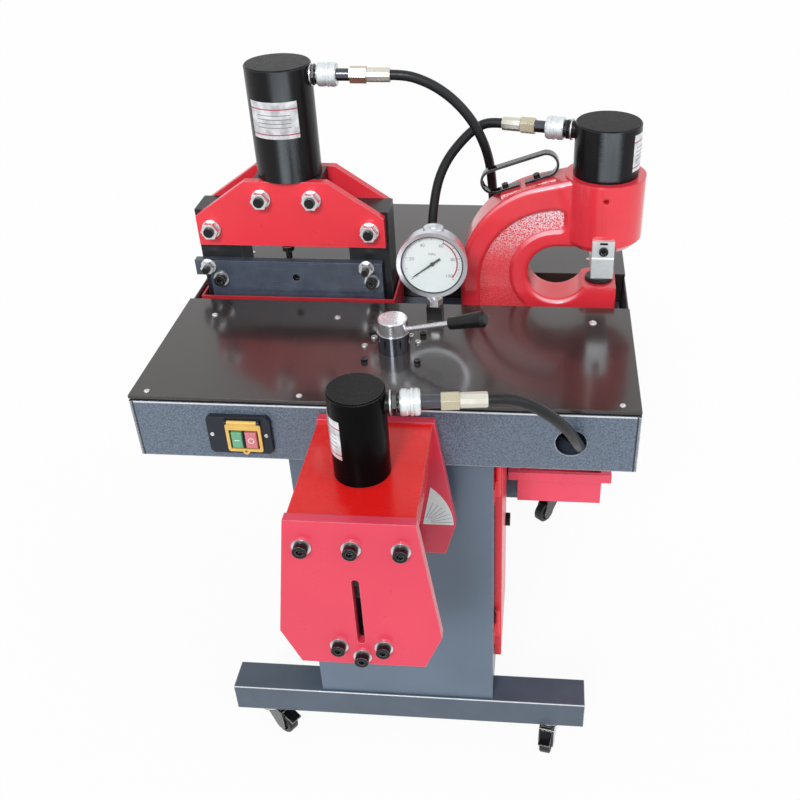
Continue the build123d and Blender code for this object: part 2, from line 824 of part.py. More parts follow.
# Cabinet door: a shallow folded pan with two hinge knuckles on its front edge
latch_y = door_back - LATCH_INSET
latch_z = door_top - LATCH_DROP
with BuildPart() as cabinet_door:
    with BuildSketch(sideways(door_inner)):
        with Locations((door_mid_y, door_mid_z)):
            Rectangle(DOOR_WIDTH, DOOR_HEIGHT)
    extrude(amount=DOOR_DEPTH)
    with BuildSketch(sideways(door_inner)):
        with Locations((door_mid_y, door_mid_z)):
            Rectangle(DOOR_WIDTH - 2 * SHEET, DOOR_HEIGHT - 2 * SHEET)
    extrude(amount=DOOR_DEPTH - SHEET, mode=Mode.SUBTRACT)
    for hinge_z in hinge_heights:
        knuckle_bottom = hinge_z + PLAY
        with BuildSketch(Plane.XY.offset(knuckle_bottom)):
            with Locations((hinge_x, hinge_y)):
                Circle(HINGE_R)
            with Locations((hinge_x, (hinge_y + door_front + SHEET) / 2)):
                Rectangle(SHEET, door_front + SHEET - hinge_y)
            with Locations((hinge_x, hinge_y)):
                Circle(HINGE_PIN_R + FIT, mode=Mode.SUBTRACT)
        extrude(amount=HINGE_KNUCKLE - PLAY)
    round_bar(sideways(door_outer - SHEET), latch_y, latch_z, LATCH_SHAFT_R + FIT, SHEET, Mode.SUBTRACT)
cabinet_door.part.label = "cabinet_door"
export_step(cabinet_door.part, "parts/cabinet_door.step")

# Door latch: ribbed knob outside, shaft through the door, cam behind the wall, drawn released
cam_inner = wall_x - SHEET - SIDE_GAP - LATCH_CAM
knob_back = door_outer + PLAY
with BuildPart() as door_latch:
    with BuildSketch(sideways(knob_back)):
        with Locations((latch_y, latch_z)):
            Circle(LATCH_KNOB_R)
            with PolarLocations(LATCH_KNOB_R, LATCH_RIBS):
                Circle(LATCH_RIB_R, mode=Mode.SUBTRACT)
    extrude(amount=LATCH_KNOB)
    round_bar(sideways(cam_inner), latch_y, latch_z, LATCH_SHAFT_R, knob_back - cam_inner)
    with BuildSketch(sideways(cam_inner)):
        with Locations((latch_y, latch_z + LATCH_CAM_LENGTH / 2 - LATCH_CAM_WIDTH / 2)):
            SlotOverall(LATCH_CAM_LENGTH, LATCH_CAM_WIDTH, rotation=90)
    extrude(amount=LATCH_CAM)
door_latch.part.label = "door_latch"
export_step(door_latch.part, "parts/door_latch.step")

# Scrap pan: pressed tray with a turned-down rim, on the bracket beside the column
pan_mid_x = (pan_left + pan_right) / 2
pan_mid_y = (pan_front + pan_back) / 2
pan_body_x = PAN_LENGTH - 2 * PAN_RIM_OUT
pan_body_y = PAN_DEPTH - 2 * PAN_RIM_FRONT
with BuildPart() as scrap_pan:
    with BuildSketch(Plane.XY.offset(pan_body_top)):
        with Locations((pan_mid_x, pan_mid_y)):
            Rectangle(PAN_LENGTH, PAN_DEPTH)
    extrude(amount=PAN_RIM)
    with BuildSketch(Plane.XY.offset(pan_body_top)):
        with Locations((pan_mid_x, pan_mid_y)):
            Rectangle(PAN_LENGTH - 2 * SHEET, PAN_DEPTH - 2 * SHEET)
    extrude(amount=PAN_RIM - SHEET, mode=Mode.SUBTRACT)
    with BuildSketch(Plane.XY.offset(pan_bottom)):
        with Locations((pan_mid_x, pan_mid_y)):
            Rectangle(pan_body_x, pan_body_y)
    extrude(amount=pan_top - pan_bottom)
    with BuildSketch(Plane.XY.offset(pan_bottom + SHEET)):
        with Locations((pan_mid_x, pan_mid_y)):
            Rectangle(pan_body_x - 2 * SHEET, pan_body_y - 2 * SHEET)
    extrude(amount=pan_top - pan_bottom - SHEET, mode=Mode.SUBTRACT)
scrap_pan.part.label = "scrap_pan"
export_step(scrap_pan.part, "parts/scrap_pan.step")

# Oil tank with a lapped lid and a filler cap
tank_front = column_front + TANK_SETBACK
tank_y = tank_front + TANK_DEPTH / 2
tank_top = base_top + TANK_HEIGHT + TANK_LID
with BuildPart() as oil_tank:
    with BuildSketch(Plane.XY.offset(base_top)):
        with Locations((0, tank_y)):
            RectangleRounded(TANK_WIDTH, TANK_DEPTH, TANK_EDGE)
    extrude(amount=TANK_HEIGHT)
    with BuildSketch(Plane.XY.offset(base_top + TANK_HEIGHT)):
        with Locations((0, tank_y)):
            RectangleRounded(TANK_WIDTH + 2 * TANK_LID_LAP, TANK_DEPTH + 2 * TANK_LID_LAP, TANK_EDGE)
    extrude(amount=TANK_LID)
    filler_x = TANK_WIDTH / 2 - FILLER_R
    filler_y = tank_y + TANK_DEPTH / 2 - FILLER_R
    round_bar(Plane.XY.offset(tank_top), filler_x, filler_y, FILLER_R, FILLER_HEIGHT)
oil_tank.part.label = "oil_tank"
export_step(oil_tank.part, "parts/oil_tank.step")

# Electric motor: finned body between two end bells, on a foot
motor_front = column_front + TANK_SETBACK + MOTOR_SETBACK
motor_z = tank_top + MOTOR_AXIS_UP
with BuildPart() as motor:
    with BuildSketch(upright(motor_front + MOTOR_LENGTH)):
        with Locations((0, motor_z)):
            Circle(MOTOR_R)
    extrude(amount=MOTOR_LENGTH)
    with BuildSketch(upright(motor_front + MOTOR_LENGTH - MOTOR_BELL)):
        with Locations((0, motor_z)):
            with PolarLocations(MOTOR_R + (MOTOR_FIN - MOTOR_FIN_ROOT) / 2, MOTOR_FINS):
                Rectangle(MOTOR_FIN + MOTOR_FIN_ROOT, MOTOR_FIN_THICK)
    extrude(amount=MOTOR_LENGTH - 2 * MOTOR_BELL)
    with BuildSketch(upright(motor_front + MOTOR_LENGTH - MOTOR_BELL)):
        with Locations((0, tank_top + MOTOR_FOOT_THICK / 2)):
            Rectangle(MOTOR_FOOT_WIDTH, MOTOR_FOOT_THICK)
        with Locations((0, tank_top + MOTOR_AXIS_UP / 4)):
            Rectangle(MOTOR_FOOT_WIDTH / 2, MOTOR_AXIS_UP / 2)
    extrude(amount=MOTOR_LENGTH - 2 * MOTOR_BELL)
motor.part.label = "motor"
export_step(motor.part, "parts/motor.step")

# Gear pump: flanged block on the motor's front bell, standing on the tank
with BuildPart() as pump:
    with BuildSketch(upright(motor_front)):
        with Locations((0, motor_z)):
            Circle(PUMP_WIDTH / 2)
        with Locations((0, (tank_top + motor_z) / 2)):
            Rectangle(PUMP_WIDTH, motor_z - tank_top)
    extrude(amount=PUMP_DEPTH)
pump.part.label = "pump"
export_step(pump.part, "parts/pump.step")

# Table frame: deck plate, bed channel and the bracket behind the bending head
bed_half = half_width - BED_INSET
with BuildPart() as table_frame:
    with BuildSketch(Plane.XY.offset(deck_bottom)):
        with Locations((0, (FRONT_Y + table_back) / 2)):
            Rectangle(TABLE_WIDTH - 2 * SHEET, TABLE_DEPTH - 2 * SHEET)
    extrude(amount=DECK)
    with BuildSketch(sideways(-bed_half)):
        with Locations((tool_y, (deck_top + bed_top) / 2)):
            Rectangle(BED_DEPTH, bed_top - deck_top)
        with Locations((tool_y, (deck_top + bed_top - BED_PLATE) / 2)):
            Rectangle(BED_DEPTH - 2 * BED_LEG, bed_top - BED_PLATE - deck_top, mode=Mode.SUBTRACT)
    extrude(amount=2 * bed_half)
    with BuildSketch(Plane.XY.offset(deck_bottom)):
        with Locations((punch_x, tool_y)):
            Circle(BED_SLUG_R)
    extrude(amount=bed_top - deck_bottom, mode=Mode.SUBTRACT)
    bracket_front = FRONT_Y - BENDER_CLEAR
    block(
        BENDER_X - BRACKET_HALF,
        BENDER_X + BRACKET_HALF,
        bracket_front,
        column_front,
        deck_bottom - BRACKET_HEIGHT,
        deck_bottom,
    )
table_frame.part.label = "table_frame"
export_step(table_frame.part, "parts/table_frame.step")

# Front cover: sheet with short lips, a rear flange down to the deck and a stiffener behind the front lip
valve_y = back(VALVE_SETBACK)
with BuildPart() as front_cover:
    with BuildSketch(Plane.XY.offset(TABLE_TOP - SHEET)):
        with Locations((0, (FRONT_Y + front_cover_back) / 2)):
            Rectangle(TABLE_WIDTH, front_cover_back - FRONT_Y)
    extrude(amount=SHEET)
    lip_bottom = TABLE_TOP - COVER_LIP
    block(-half_width, half_width, FRONT_Y, FRONT_Y + SHEET, lip_bottom, TABLE_TOP)
    block(-half_width, SHEET - half_width, FRONT_Y, front_cover_back, lip_bottom, TABLE_TOP)
    block(half_width - SHEET, half_width, FRONT_Y, front_cover_back, lip_bottom, TABLE_TOP)
    flange_half = half_width - FLANGE_INSET
    block(-flange_half, flange_half, front_cover_back - SHEET, front_cover_back, deck_top, TABLE_TOP)
    stiffener_half = half_width - STIFFENER_INSET
    stiffener_front = FRONT_Y + 2 * SHEET
    block(
        -stiffener_half,
        stiffener_half,
        stiffener_front,
        stiffener_front + STIFFENER_WIDTH,
        skirt_top,
        TABLE_TOP - SHEET,
    )
    round_bar(Plane.XY.offset(TABLE_TOP - SHEET), 0, valve_y, VALVE_R + HOLE_FIT, SHEET, Mode.SUBTRACT)
front_cover.part.label = "front_cover"
export_step(front_cover.part, "parts/front_cover.step")

# Front panel: apron sheet bent over at the top, with the hose hole and the switch cut-out
switch_z = TABLE_TOP - SWITCH_DROP
panel_half = half_width - SHEET - SIDE_GAP
with BuildPart() as front_panel:
    with BuildSketch(sideways(-panel_half)):
        with BuildLine():
            Polyline(
                (FRONT_Y, deck_bottom),
                (FRONT_Y, skirt_top),
                (FRONT_Y + RETURN_FLANGE, skirt_top),
                (FRONT_Y + RETURN_FLANGE, skirt_top - SHEET),
                (FRONT_Y + SHEET, skirt_top - SHEET),
                (FRONT_Y + SHEET, deck_bottom),
                close=True,
            )
        make_face()
    extrude(amount=2 * panel_half)
    bend = front_panel.edges().filter_by(Axis.X).group_by(Axis.Y)[0].sort_by(Axis.Z)[-1]
    fillet(bend, BEND_R)
    with BuildSketch(upright(FRONT_Y + SHEET)):
        with Locations((HOSE_HOLE_X, TABLE_TOP - HOSE_HOLE_DROP)):
            Circle(HOSE_HOLE_R)
        with Locations((SWITCH_X, switch_z)):
            Rectangle(SWITCH_BOX_WIDTH + 2 * SIDE_GAP, SWITCH_BOX_HEIGHT + 2 * SIDE_GAP)
    extrude(amount=SHEET, mode=Mode.SUBTRACT)
front_panel.part.label = "front_panel"
export_step(front_panel.part, "parts/front_panel.step")

# Table skirt: two side sheets and a back sheet between them, with a return flange along the back
gland_z = TABLE_TOP - GLAND_DROP
with BuildPart() as table_skirt:
    block(-half_width, SHEET - half_width, FRONT_Y, table_back, deck_bottom, skirt_top)
    block(half_width - SHEET, half_width, FRONT_Y, table_back, deck_bottom, skirt_top)
    block(-panel_half, panel_half, table_back - SHEET, table_back, deck_bottom, skirt_top)
    flange_front = table_back - RETURN_FLANGE
    block(-panel_half, panel_half, flange_front, table_back - SHEET, skirt_top - SHEET, skirt_top)
    round_bar(upright(table_back), gland_x, gland_z, GLAND_THREAD_R + HOLE_FIT, SHEET, Mode.SUBTRACT)
table_skirt.part.label = "table_skirt"
export_step(table_skirt.part, "parts/table_skirt.step")

# Rear cover: sheet with short lips, a front flange down to the deck and a stiffener along the back
with BuildPart() as rear_cover:
    with BuildSketch(Plane.XY.offset(TABLE_TOP - SHEET)):
        with Locations((0, (rear_cover_front + table_back) / 2)):
            Rectangle(TABLE_WIDTH, table_back - rear_cover_front)
    extrude(amount=SHEET)
    block(-half_width, half_width, table_back - SHEET, table_back, lip_bottom, TABLE_TOP)
    block(-half_width, SHEET - half_width, rear_cover_front, table_back, lip_bottom, TABLE_TOP)
    block(half_width - SHEET, half_width, rear_cover_front, table_back, lip_bottom, TABLE_TOP)
    block(-flange_half, flange_half, rear_cover_front, rear_cover_front + SHEET, deck_top, TABLE_TOP)
    stiffener_back = table_back - 2 * SHEET
    block(
        -stiffener_half,
        stiffener_half,
        stiffener_back - STIFFENER_WIDTH,
        stiffener_back,
        skirt_top,
        TABLE_TOP - SHEET,
    )
rear_cover.part.label = "rear_cover"
export_step(rear_cover.part, "parts/rear_cover.step")

# Cutter tray: open sheet tray on the bed, round the foot of the cutting head
cut_base = bed_top + TRAY
with BuildPart() as cutter_tray:
    with BuildSketch(Plane.XY.offset(bed_top)):
        with Locations((cutter_x, tool_y)):
            Rectangle(TRAY_LENGTH, TRAY_DEPTH)
    extrude(amount=BED_DROP)
    with BuildSketch(Plane.XY.offset(cut_base)):
        with Locations((cutter_x, tool_y)):
            Rectangle(TRAY_LENGTH - 2 * TRAY, TRAY_DEPTH - 2 * TRAY)
    extrude(amount=BED_DROP - TRAY, mode=Mode.SUBTRACT)
cutter_tray.part.label = "cutter_tray"
export_step(cutter_tray.part, "parts/cutter_tray.step")

# Cutter plates: front and rear, one outline with four stud holes
cut_front = tool_y - CUT_BLOCK_DEPTH / 2
cut_back = tool_y + CUT_BLOCK_DEPTH / 2
cut_head_top = cut_base + CUT_PLATE_TOP
cut_studs = [
    (cutter_x + side * out, cut_base + height)
    for out, height in ((CUT_STUD_OUT, CUT_STUD_UP), (CUT_STUD_LOW_OUT, CUT_STUD_LOW_UP))
    for side in (-1, 1)
]
with BuildPart() as cutter_plates:
    for plate_back in (cut_front, cut_back + CUT_PLATE):
        with BuildSketch(upright(plate_back)):
            with BuildLine():
                Polyline(
                    (cutter_x - CUT_PLATE_HALF, cut_base + CUT_PLATE_BOTTOM),
                    (cutter_x - CUT_PLATE_HALF, cut_base + CUT_PLATE_SHOULDER),
                    (cutter_x - CUT_PLATE_TOP_HALF, cut_head_top),
                    (cutter_x + CUT_PLATE_TOP_HALF, cut_head_top),
                    (cutter_x + CUT_PLATE_HALF, cut_base + CUT_PLATE_SHOULDER),
                    (cutter_x + CUT_PLATE_HALF, cut_base + CUT_PLATE_BOTTOM),
                    close=True,
                )
            make_face()
            with Locations(*cut_studs):
                Circle(CUT_STUD_R + HOLE_FIT, mode=Mode.SUBTRACT)
        extrude(amount=CUT_PLATE)
cutter_plates.part.label = "cutter_plates"
export_step(cutter_plates.part, "parts/cutter_plates.step")

# Cutter blocks: two columns and the head block that carries the cylinder
jaw_bolts = [(cutter_x + x, cut_base + z) for x, z in JAW_STUDS + JAW_SCREWS]
with BuildPart() as cutter_blocks:
    for side in (-1, 1):
        inner_x = cutter_x + side * CUT_COLUMN_IN
        outer_x = cutter_x + side * CUT_COLUMN_OUT
        block(
            min(inner_x, outer_x),
            max(inner_x, outer_x),
            cut_front,
            cut_back,
            cut_base,
            cut_base + CUT_COLUMN_HEIGHT,
        )
    block(
        cutter_x - CUT_HEAD_HALF,
        cutter_x + CUT_HEAD_HALF,
        cut_front,
        cut_back,
        cut_head_top - CUT_HEAD_HEIGHT,
        cut_head_top,
    )
    with BuildSketch(upright(cut_back)):
        with Locations(*cut_studs):
            Circle(CUT_STUD_R + HOLE_FIT)
    extrude(amount=CUT_BLOCK_DEPTH, mode=Mode.SUBTRACT)
    with BuildSketch(upright(cut_front)):
        with Locations(*jaw_bolts):
            Circle(JAW_STUD_R + HOLE_FIT)
    extrude(amount=-JAW_STUD_DEPTH, mode=Mode.SUBTRACT)
    with BuildSketch(Plane.XY.offset(cut_head_top)):
        with Locations((cutter_x, tool_y)):
            Circle(CUT_ROD_R + 2 * FIT)
    extrude(amount=-CUT_HEAD_HEIGHT, mode=Mode.SUBTRACT)
cutter_blocks.part.label = "cutter_blocks"
export_step(cutter_blocks.part, "parts/cutter_blocks.step")

# Cutter cylinder, with the flat port that takes the coupler
cutter_port_z = cut_head_top + CUT_CYLINDER - CUTTER_PORT_DROP
cutter_port_x = cutter_x + CUT_CYLINDER_R - PORT_DEPTH
port_r = COUPLER_BOSS_R + HOLE_FIT
with BuildPart() as cutter_cylinder:
    with Locations((cutter_x, tool_y, cut_head_top)):
        add(cylinder_shell(CUT_CYLINDER_R, CUT_CYLINDER, CUT_STROKE))
    round_bar(sideways(cutter_port_x), tool_y, cutter_port_z, port_r, 2 * PORT_DEPTH, Mode.SUBTRACT)
cutter_cylinder.part.label = "cutter_cylinder"
export_step(cutter_cylinder.part, "parts/cutter_cylinder.step")

# Cutter jaw: lower blade bar with its stop on the left, and the lower bar at the back
with BuildPart() as cutter_jaw:
    with BuildSketch(upright(cut_front)):
        with Locations((cutter_x, cut_base + JAW_HEIGHT / 2)):
            Rectangle(2 * JAW_HALF, JAW_HEIGHT)
        with Locations((cutter_x - JAW_HALF, cut_base + JAW_HEIGHT - STOP_HEIGHT / 2)):
            Rectangle(2 * STOP_OUT, STOP_HEIGHT)
        with Locations(*jaw_bolts):
            Circle(JAW_STUD_R + HOLE_FIT, mode=Mode.SUBTRACT)
    extrude(amount=CUT_PLATE)
    with BuildSketch(upright(cut_front - CUT_PLATE)):
        with Locations((cutter_x, cut_base + JAW_HOLE_UP)):
            Circle(JAW_HOLE_R)
    extrude(amount=-JAW_HOLE_DEPTH, mode=Mode.SUBTRACT)
    with BuildSketch(upright(cut_back + CUT_PLATE)):
        with Locations((cutter_x, cut_base + REAR_JAW_HEIGHT / 2)):
            Rectangle(2 * JAW_HALF, REAR_JAW_HEIGHT)
    extrude(amount=CUT_PLATE)
cutter_jaw.part.label = "cutter_jaw"
export_step(cutter_jaw.part, "parts/cutter_jaw.step")

# Cutter ram: blade carriage between the columns, with its rod and piston
ram_half = CUT_COLUMN_IN - SIDE_GAP
with BuildPart() as cutter_ram:
    block(
        cutter_x - ram_half,
        cutter_x + ram_half,
        cut_front + PLAY,
        cut_back - SIDE_GAP,
        cut_base + CUT_RAM_BOTTOM,
        cut_base + CUT_RAM_BOTTOM + CUT_RAM_HEIGHT,
    )
    rod_drop = cut_base + CUT_RAM_BOTTOM + CUT_RAM_HEIGHT - cut_head_top
    with Locations((cutter_x, tool_y, cut_head_top)):
        add(piston_rod(CUT_CYLINDER_R, CUT_ROD_R, CUT_STROKE, rod_drop))
cutter_ram.part.label = "cutter_ram"
export_step(cutter_ram.part, "parts/cutter_ram.step")

# Punch frame: C-shaped casting with a sunk web on both sides, a round head and a handle pad
arch_x = punch_x - ARCH_REACH
arch_z = bed_top + ARCH_UP
throat_x = punch_x - THROAT_REACH
throat_z = bed_top + THROAT_UP
head_bottom = throat_z + THROAT_R
head_top = bed_top + PUNCH_HEAD_TOP
head_height = head_top - head_bottom
jaw_z = bed_top + JAW_TOP
frame_front = tool_y - FRAME_THICK / 2
frame_back = tool_y + FRAME_THICK / 2
head_front = tool_y - PUNCH_HEAD_R
slope = radians(TOP_SLOPE)
crown = (arch_x - ARCH_R * sin(slope), arch_z + ARCH_R * cos(slope))
crown_end = crown[0] + (head_top - crown[1]) / tan(slope)
throat_top = (throat_x, head_bottom)
throat_low = (throat_x, throat_z - THROAT_R)
throat_end = throat_x + sqrt(THROAT_R**2 - (throat_z - jaw_z) ** 2)
pad_tilt = radians(PAD_ANGLE)
pad_origin = (arch_x - ARCH_R * sin(pad_tilt), tool_y, arch_z + ARCH_R * cos(pad_tilt))
web_outer = ARCH_R - ARCH_RIM
web_inner = THROAT_R + THROAT_RIM
web_low = bed_top + WEB_FOOT
web_z = arch_z - WEB_DROP
stripper_seat = head_front + STRIPPER_FLAT
punch_head = turned(
    [
        (0, head_bottom),
        (PUNCH_HEAD_R - PUNCH_HEAD_TAPER, head_bottom),
        (PUNCH_HEAD_R, head_bottom + PUNCH_HEAD_TAPER),
        (PUNCH_HEAD_R, head_top),
        (0, head_top),
    ]
)
with BuildPart() as punch_frame:
    with BuildSketch(upright(frame_back)):
        with BuildLine():
            foot = Line((punch_x + JAW_OVERHANG, bed_top), (arch_x - ARCH_R, bed_top))
            Line(foot @ 1, (arch_x - ARCH_R, arch_z))
            RadiusArc((arch_x - ARCH_R, arch_z), crown, ARCH_R)
            Polyline(crown, (crown_end, head_top), (punch_x, head_top), (punch_x, head_bottom), throat_top)
            ThreePointArc(throat_top, (throat_x - THROAT_R, throat_z), throat_low)
            RadiusArc(throat_low, (throat_end, jaw_z), -THROAT_R)
            Polyline((throat_end, jaw_z), (punch_x + JAW_OVERHANG, jaw_z), foot @ 0)
        make_face()
    extrude(amount=FRAME_THICK)
    side_faces = punch_frame.faces().filter_by(Axis.Y)
    rims = side_faces.edges().filter_by(lambda edge: edge.center().Z > bed_top + FRAME_EDGE)
    rims = rims.filter_by(lambda edge: edge.bounding_box().max.X < punch_x - FRAME_EDGE)
    rims = rims.filter_by(lambda edge: edge.geom_type == GeomType.CIRCLE)
    fillet(rims, FRAME_EDGE)
    with Locations((punch_x, tool_y, 0)):
        add(punch_head)
    for face_y, inward in ((frame_front, -WEB_DEPTH), (frame_back, WEB_DEPTH)):
        with BuildSketch(upright(face_y)) as web:
            with Locations((arch_x, web_z)):
                Circle(web_outer)
            with Locations((arch_x - web_outer / 2, (web_low + web_z) / 2)):
                Rectangle(web_outer, web_z - web_low)
            with Locations((throat_x, throat_z)):
                Circle(web_inner, mode=Mode.SUBTRACT)
            with Locations((throat_x + WEB_END + web_outer, arch_z)):
                Rectangle(2 * web_outer, 3 * web_outer, mode=Mode.SUBTRACT)
            with Locations((arch_x, web_low - web_outer)):
                Rectangle(3 * web_outer, 2 * web_outer, mode=Mode.SUBTRACT)
            fillet(web.vertices(), WEB_CORNER)
        extrude(amount=inward, mode=Mode.SUBTRACT)
        mouth = punch_frame.edges(Select.LAST).filter_by(
            lambda edge: abs(edge.center().Y - face_y) < FIT and abs(edge.bounding_box().size.Y) < FIT
        )
        chamfer(mouth, WEB_DRAFT)
    with Locations(Location(pad_origin, (0, -PAD_ANGLE, 0))):
        Box(PAD_LENGTH, PAD_WIDTH, PAD_DEPTH, align=(Align.CENTER, Align.CENTER, Align.MAX))
    block(
        punch_x - STRIPPER_WIDTH / 2 - SIDE_GAP,
        punch_x + STRIPPER_WIDTH / 2 + SIDE_GAP,
        head_front,
        stripper_seat,
        head_bottom,
        head_bottom + STRIPPER_RISE + SIDE_GAP,
        mode=Mode.SUBTRACT,
    )
    round_bar(Plane.XY.offset(head_top), punch_x, tool_y, PUNCH_ROD_R + 2 * FIT, -head_height, Mode.SUBTRACT)
    round_bar(Plane.XY.offset(bed_top), punch_x, tool_y, SLUG_R, JAW_TOP, Mode.SUBTRACT)
    round_bar(Plane.XY.offset(jaw_z), punch_x, tool_y, DIE_R + HOLE_FIT, -DIE_SEAT, Mode.SUBTRACT)
    round_bar(upright(head_front), punch_x, head_top - VENT_DROP, VENT_R, -VENT_DEPTH, Mode.SUBTRACT)
punch_frame.part.label = "punch_frame"
export_step(punch_frame.part, "parts/punch_frame.step")

# Punch cylinder, with its port turned a little to the back
punch_port_z = head_top + PUNCH_CYLINDER - PUNCH_PORT_DROP
port_turn = radians(PUNCH_COUPLER_TURN)
punch_port = Plane(
    origin=(
        punch_x - (PUNCH_CYLINDER_R - PORT_DEPTH) * cos(port_turn),
        tool_y + (PUNCH_CYLINDER_R - PORT_DEPTH) * sin(port_turn),
        punch_port_z,
    ),
    x_dir=(0, 0, 1),
    z_dir=(-cos(port_turn), sin(port_turn), 0),
)
with BuildPart() as punch_cylinder:
    with Locations((punch_x, tool_y, head_top)):
        add(cylinder_shell(PUNCH_CYLINDER_R, PUNCH_CYLINDER, PUNCH_STROKE))
    round_bar(punch_port, 0, 0, port_r, 2 * PORT_DEPTH, Mode.SUBTRACT)
punch_cylinder.part.label = "punch_cylinder"
export_step(punch_cylinder.part, "parts/punch_cylinder.step")

# Punch ram: rod, piston and punch tip; its shoulder stays above the stripper's foot at full stroke
strip_bottom = head_bottom - STRIPPER_DROP
shoulder_z = strip_bottom + STRIPPER_FOOT + PUNCH_STROKE + PISTON_END
punch_tip_z = head_bottom - PUNCH_TIP + STRIPPER_FOOT / 2
with BuildPart() as punch_ram:
    with Locations((punch_x, tool_y, head_top)):
        add(piston_rod(PUNCH_CYLINDER_R, PUNCH_ROD_R, PUNCH_STROKE, shoulder_z - head_top))
    round_bar(Plane.XY.offset(punch_tip_z), punch_x, tool_y, PUNCH_TIP_R, shoulder_z - punch_tip_z)
punch_ram.part.label = "punch_ram"
export_step(punch_ram.part, "parts/punch_ram.step")

# Punch die in its seat in the lower jaw
with BuildPart() as punch_die:
    with BuildSketch(Plane.XY.offset(jaw_z - DIE_SEAT)):
        with Locations((punch_x, tool_y)):
            Circle(DIE_R)
            Circle(DIE_HOLE_R, mode=Mode.SUBTRACT)
    extrude(amount=DIE_HEIGHT)
    chamfer(punch_die.edges().group_by(Axis.Z)[-1].sort_by(SortBy.LENGTH)[-1], CYLINDER_EDGE)
punch_die.part.label = "punch_die"
export_step(punch_die.part, "parts/punch_die.step")

# Stripper: angle on the head's flat, with a stepped front and the punch hole in its foot
with BuildPart() as punch_stripper:
    with BuildSketch(sideways(punch_x - STRIPPER_WIDTH / 2)):
        with BuildLine():
            Polyline(
                (stripper_seat, head_bottom + STRIPPER_RISE),
                (stripper_seat - STRIPPER_THICK, head_bottom + STRIPPER_RISE),
                (stripper_seat - STRIPPER_THICK, head_bottom),
                (stripper_seat - STRIPPER_THICK - STRIPPER_STEP, head_bottom),
                (stripper_seat - STRIPPER_THICK - STRIPPER_STEP, strip_bottom),
                (tool_y + STRIPPER_FOOT_REACH, strip_bottom),
                (tool_y + STRIPPER_FOOT_REACH, strip_bottom + STRIPPER_FOOT),
                (stripper_seat, strip_bottom + STRIPPER_FOOT),
                close=True,
            )
        make_face()
    extrude(amount=STRIPPER_WIDTH)
    round_bar(Plane.XY.offset(strip_bottom), punch_x, tool_y, STRIPPER_HOLE_R, STRIPPER_FOOT, Mode.SUBTRACT)
punch_stripper.part.label = "punch_stripper"
export_step(punch_stripper.part, "parts/punch_stripper.step")

# Punch handle: flat strap bent into a loop, open below, on the sloping pad
pad_x = (cos(pad_tilt), 0, sin(pad_tilt))
pad_up = (-sin(pad_tilt), 0, cos(pad_tilt))
handle_inside = HANDLE_LENGTH - 2 * HANDLE_STRAP
handle_plane = Plane(
    origin=(pad_origin[0], tool_y + HANDLE_WIDTH / 2, pad_origin[2]), x_dir=pad_x, z_dir=(0, -1, 0)
)
with BuildPart() as punch_handle:
    with BuildSketch(handle_plane):
        with Locations((HANDLE_SHIFT, HANDLE_HEIGHT / 2)):
            SlotOverall(HANDLE_LENGTH, HANDLE_HEIGHT)
            SlotOverall(handle_inside, HANDLE_HEIGHT - 2 * HANDLE_STRAP, mode=Mode.SUBTRACT)
        with Locations((HANDLE_GAP_AT, HANDLE_STRAP / 2)):
            Rectangle(HANDLE_GAP, HANDLE_STRAP, mode=Mode.SUBTRACT)
    extrude(amount=HANDLE_WIDTH)
punch_handle.part.label = "punch_handle"
export_step(punch_handle.part, "parts/punch_handle.step")

# Bender plates: front with the slot, shorter rear plate behind it
bend_rear_back = FRONT_Y - BENDER_CLEAR
bend_rear = bend_rear_back - BEND_PLATE
bend_front = bend_rear - BEND_PLATE_GAP
bend_top = TABLE_TOP - BEND_FRONT_DROP
bend_screws = [(BENDER_X + out, bend_top - BEND_SCREW_DROP) for out in (-BEND_SCREW_OUT, 0, BEND_SCREW_OUT)]
bend_screws += [(BENDER_X + x, bend_top + z) for x, z in DIE_SCREWS]
bend_outlines = (
    (bend_front, BEND_SHOULDER, BEND_PLATE_HEIGHT, BEND_BOTTOM_HALF),
    (bend_rear_back, BEND_REAR_SHOULDER, BEND_REAR_HEIGHT, BEND_REAR_BOTTOM_HALF),
)
with BuildPart() as bender_plates:
    for plate_back, shoulder, plate_height, bottom_half in bend_outlines:
        with BuildSketch(upright(plate_back)):
            with BuildLine():
                Polyline(
                    (BENDER_X - BEND_TOP_HALF, bend_top),
                    (BENDER_X - BEND_SIDE_HALF, bend_top - shoulder),
                    (BENDER_X - bottom_half, bend_top - plate_height),
                    (BENDER_X + bottom_half, bend_top - plate_height),
                    (BENDER_X + BEND_SIDE_HALF, bend_top - shoulder),
                    (BENDER_X + BEND_TOP_HALF, bend_top),
                    close=True,
                )
            make_face()
        extrude(amount=BEND_PLATE)
    with BuildSketch(upright(bend_front)):
        with Locations((BENDER_X, bend_top - (SLOT_TOP + SLOT_BOTTOM) / 2)):
            SlotOverall(SLOT_BOTTOM - SLOT_TOP, 2 * SLOT_HALF, rotation=90)
        with Locations(*bend_screws):
            Circle(BEND_SCREW_R + HOLE_FIT)
    extrude(amount=BEND_PLATE, mode=Mode.SUBTRACT)
bender_plates.part.label = "bender_plates"
export_step(bender_plates.part, "parts/bender_plates.step")

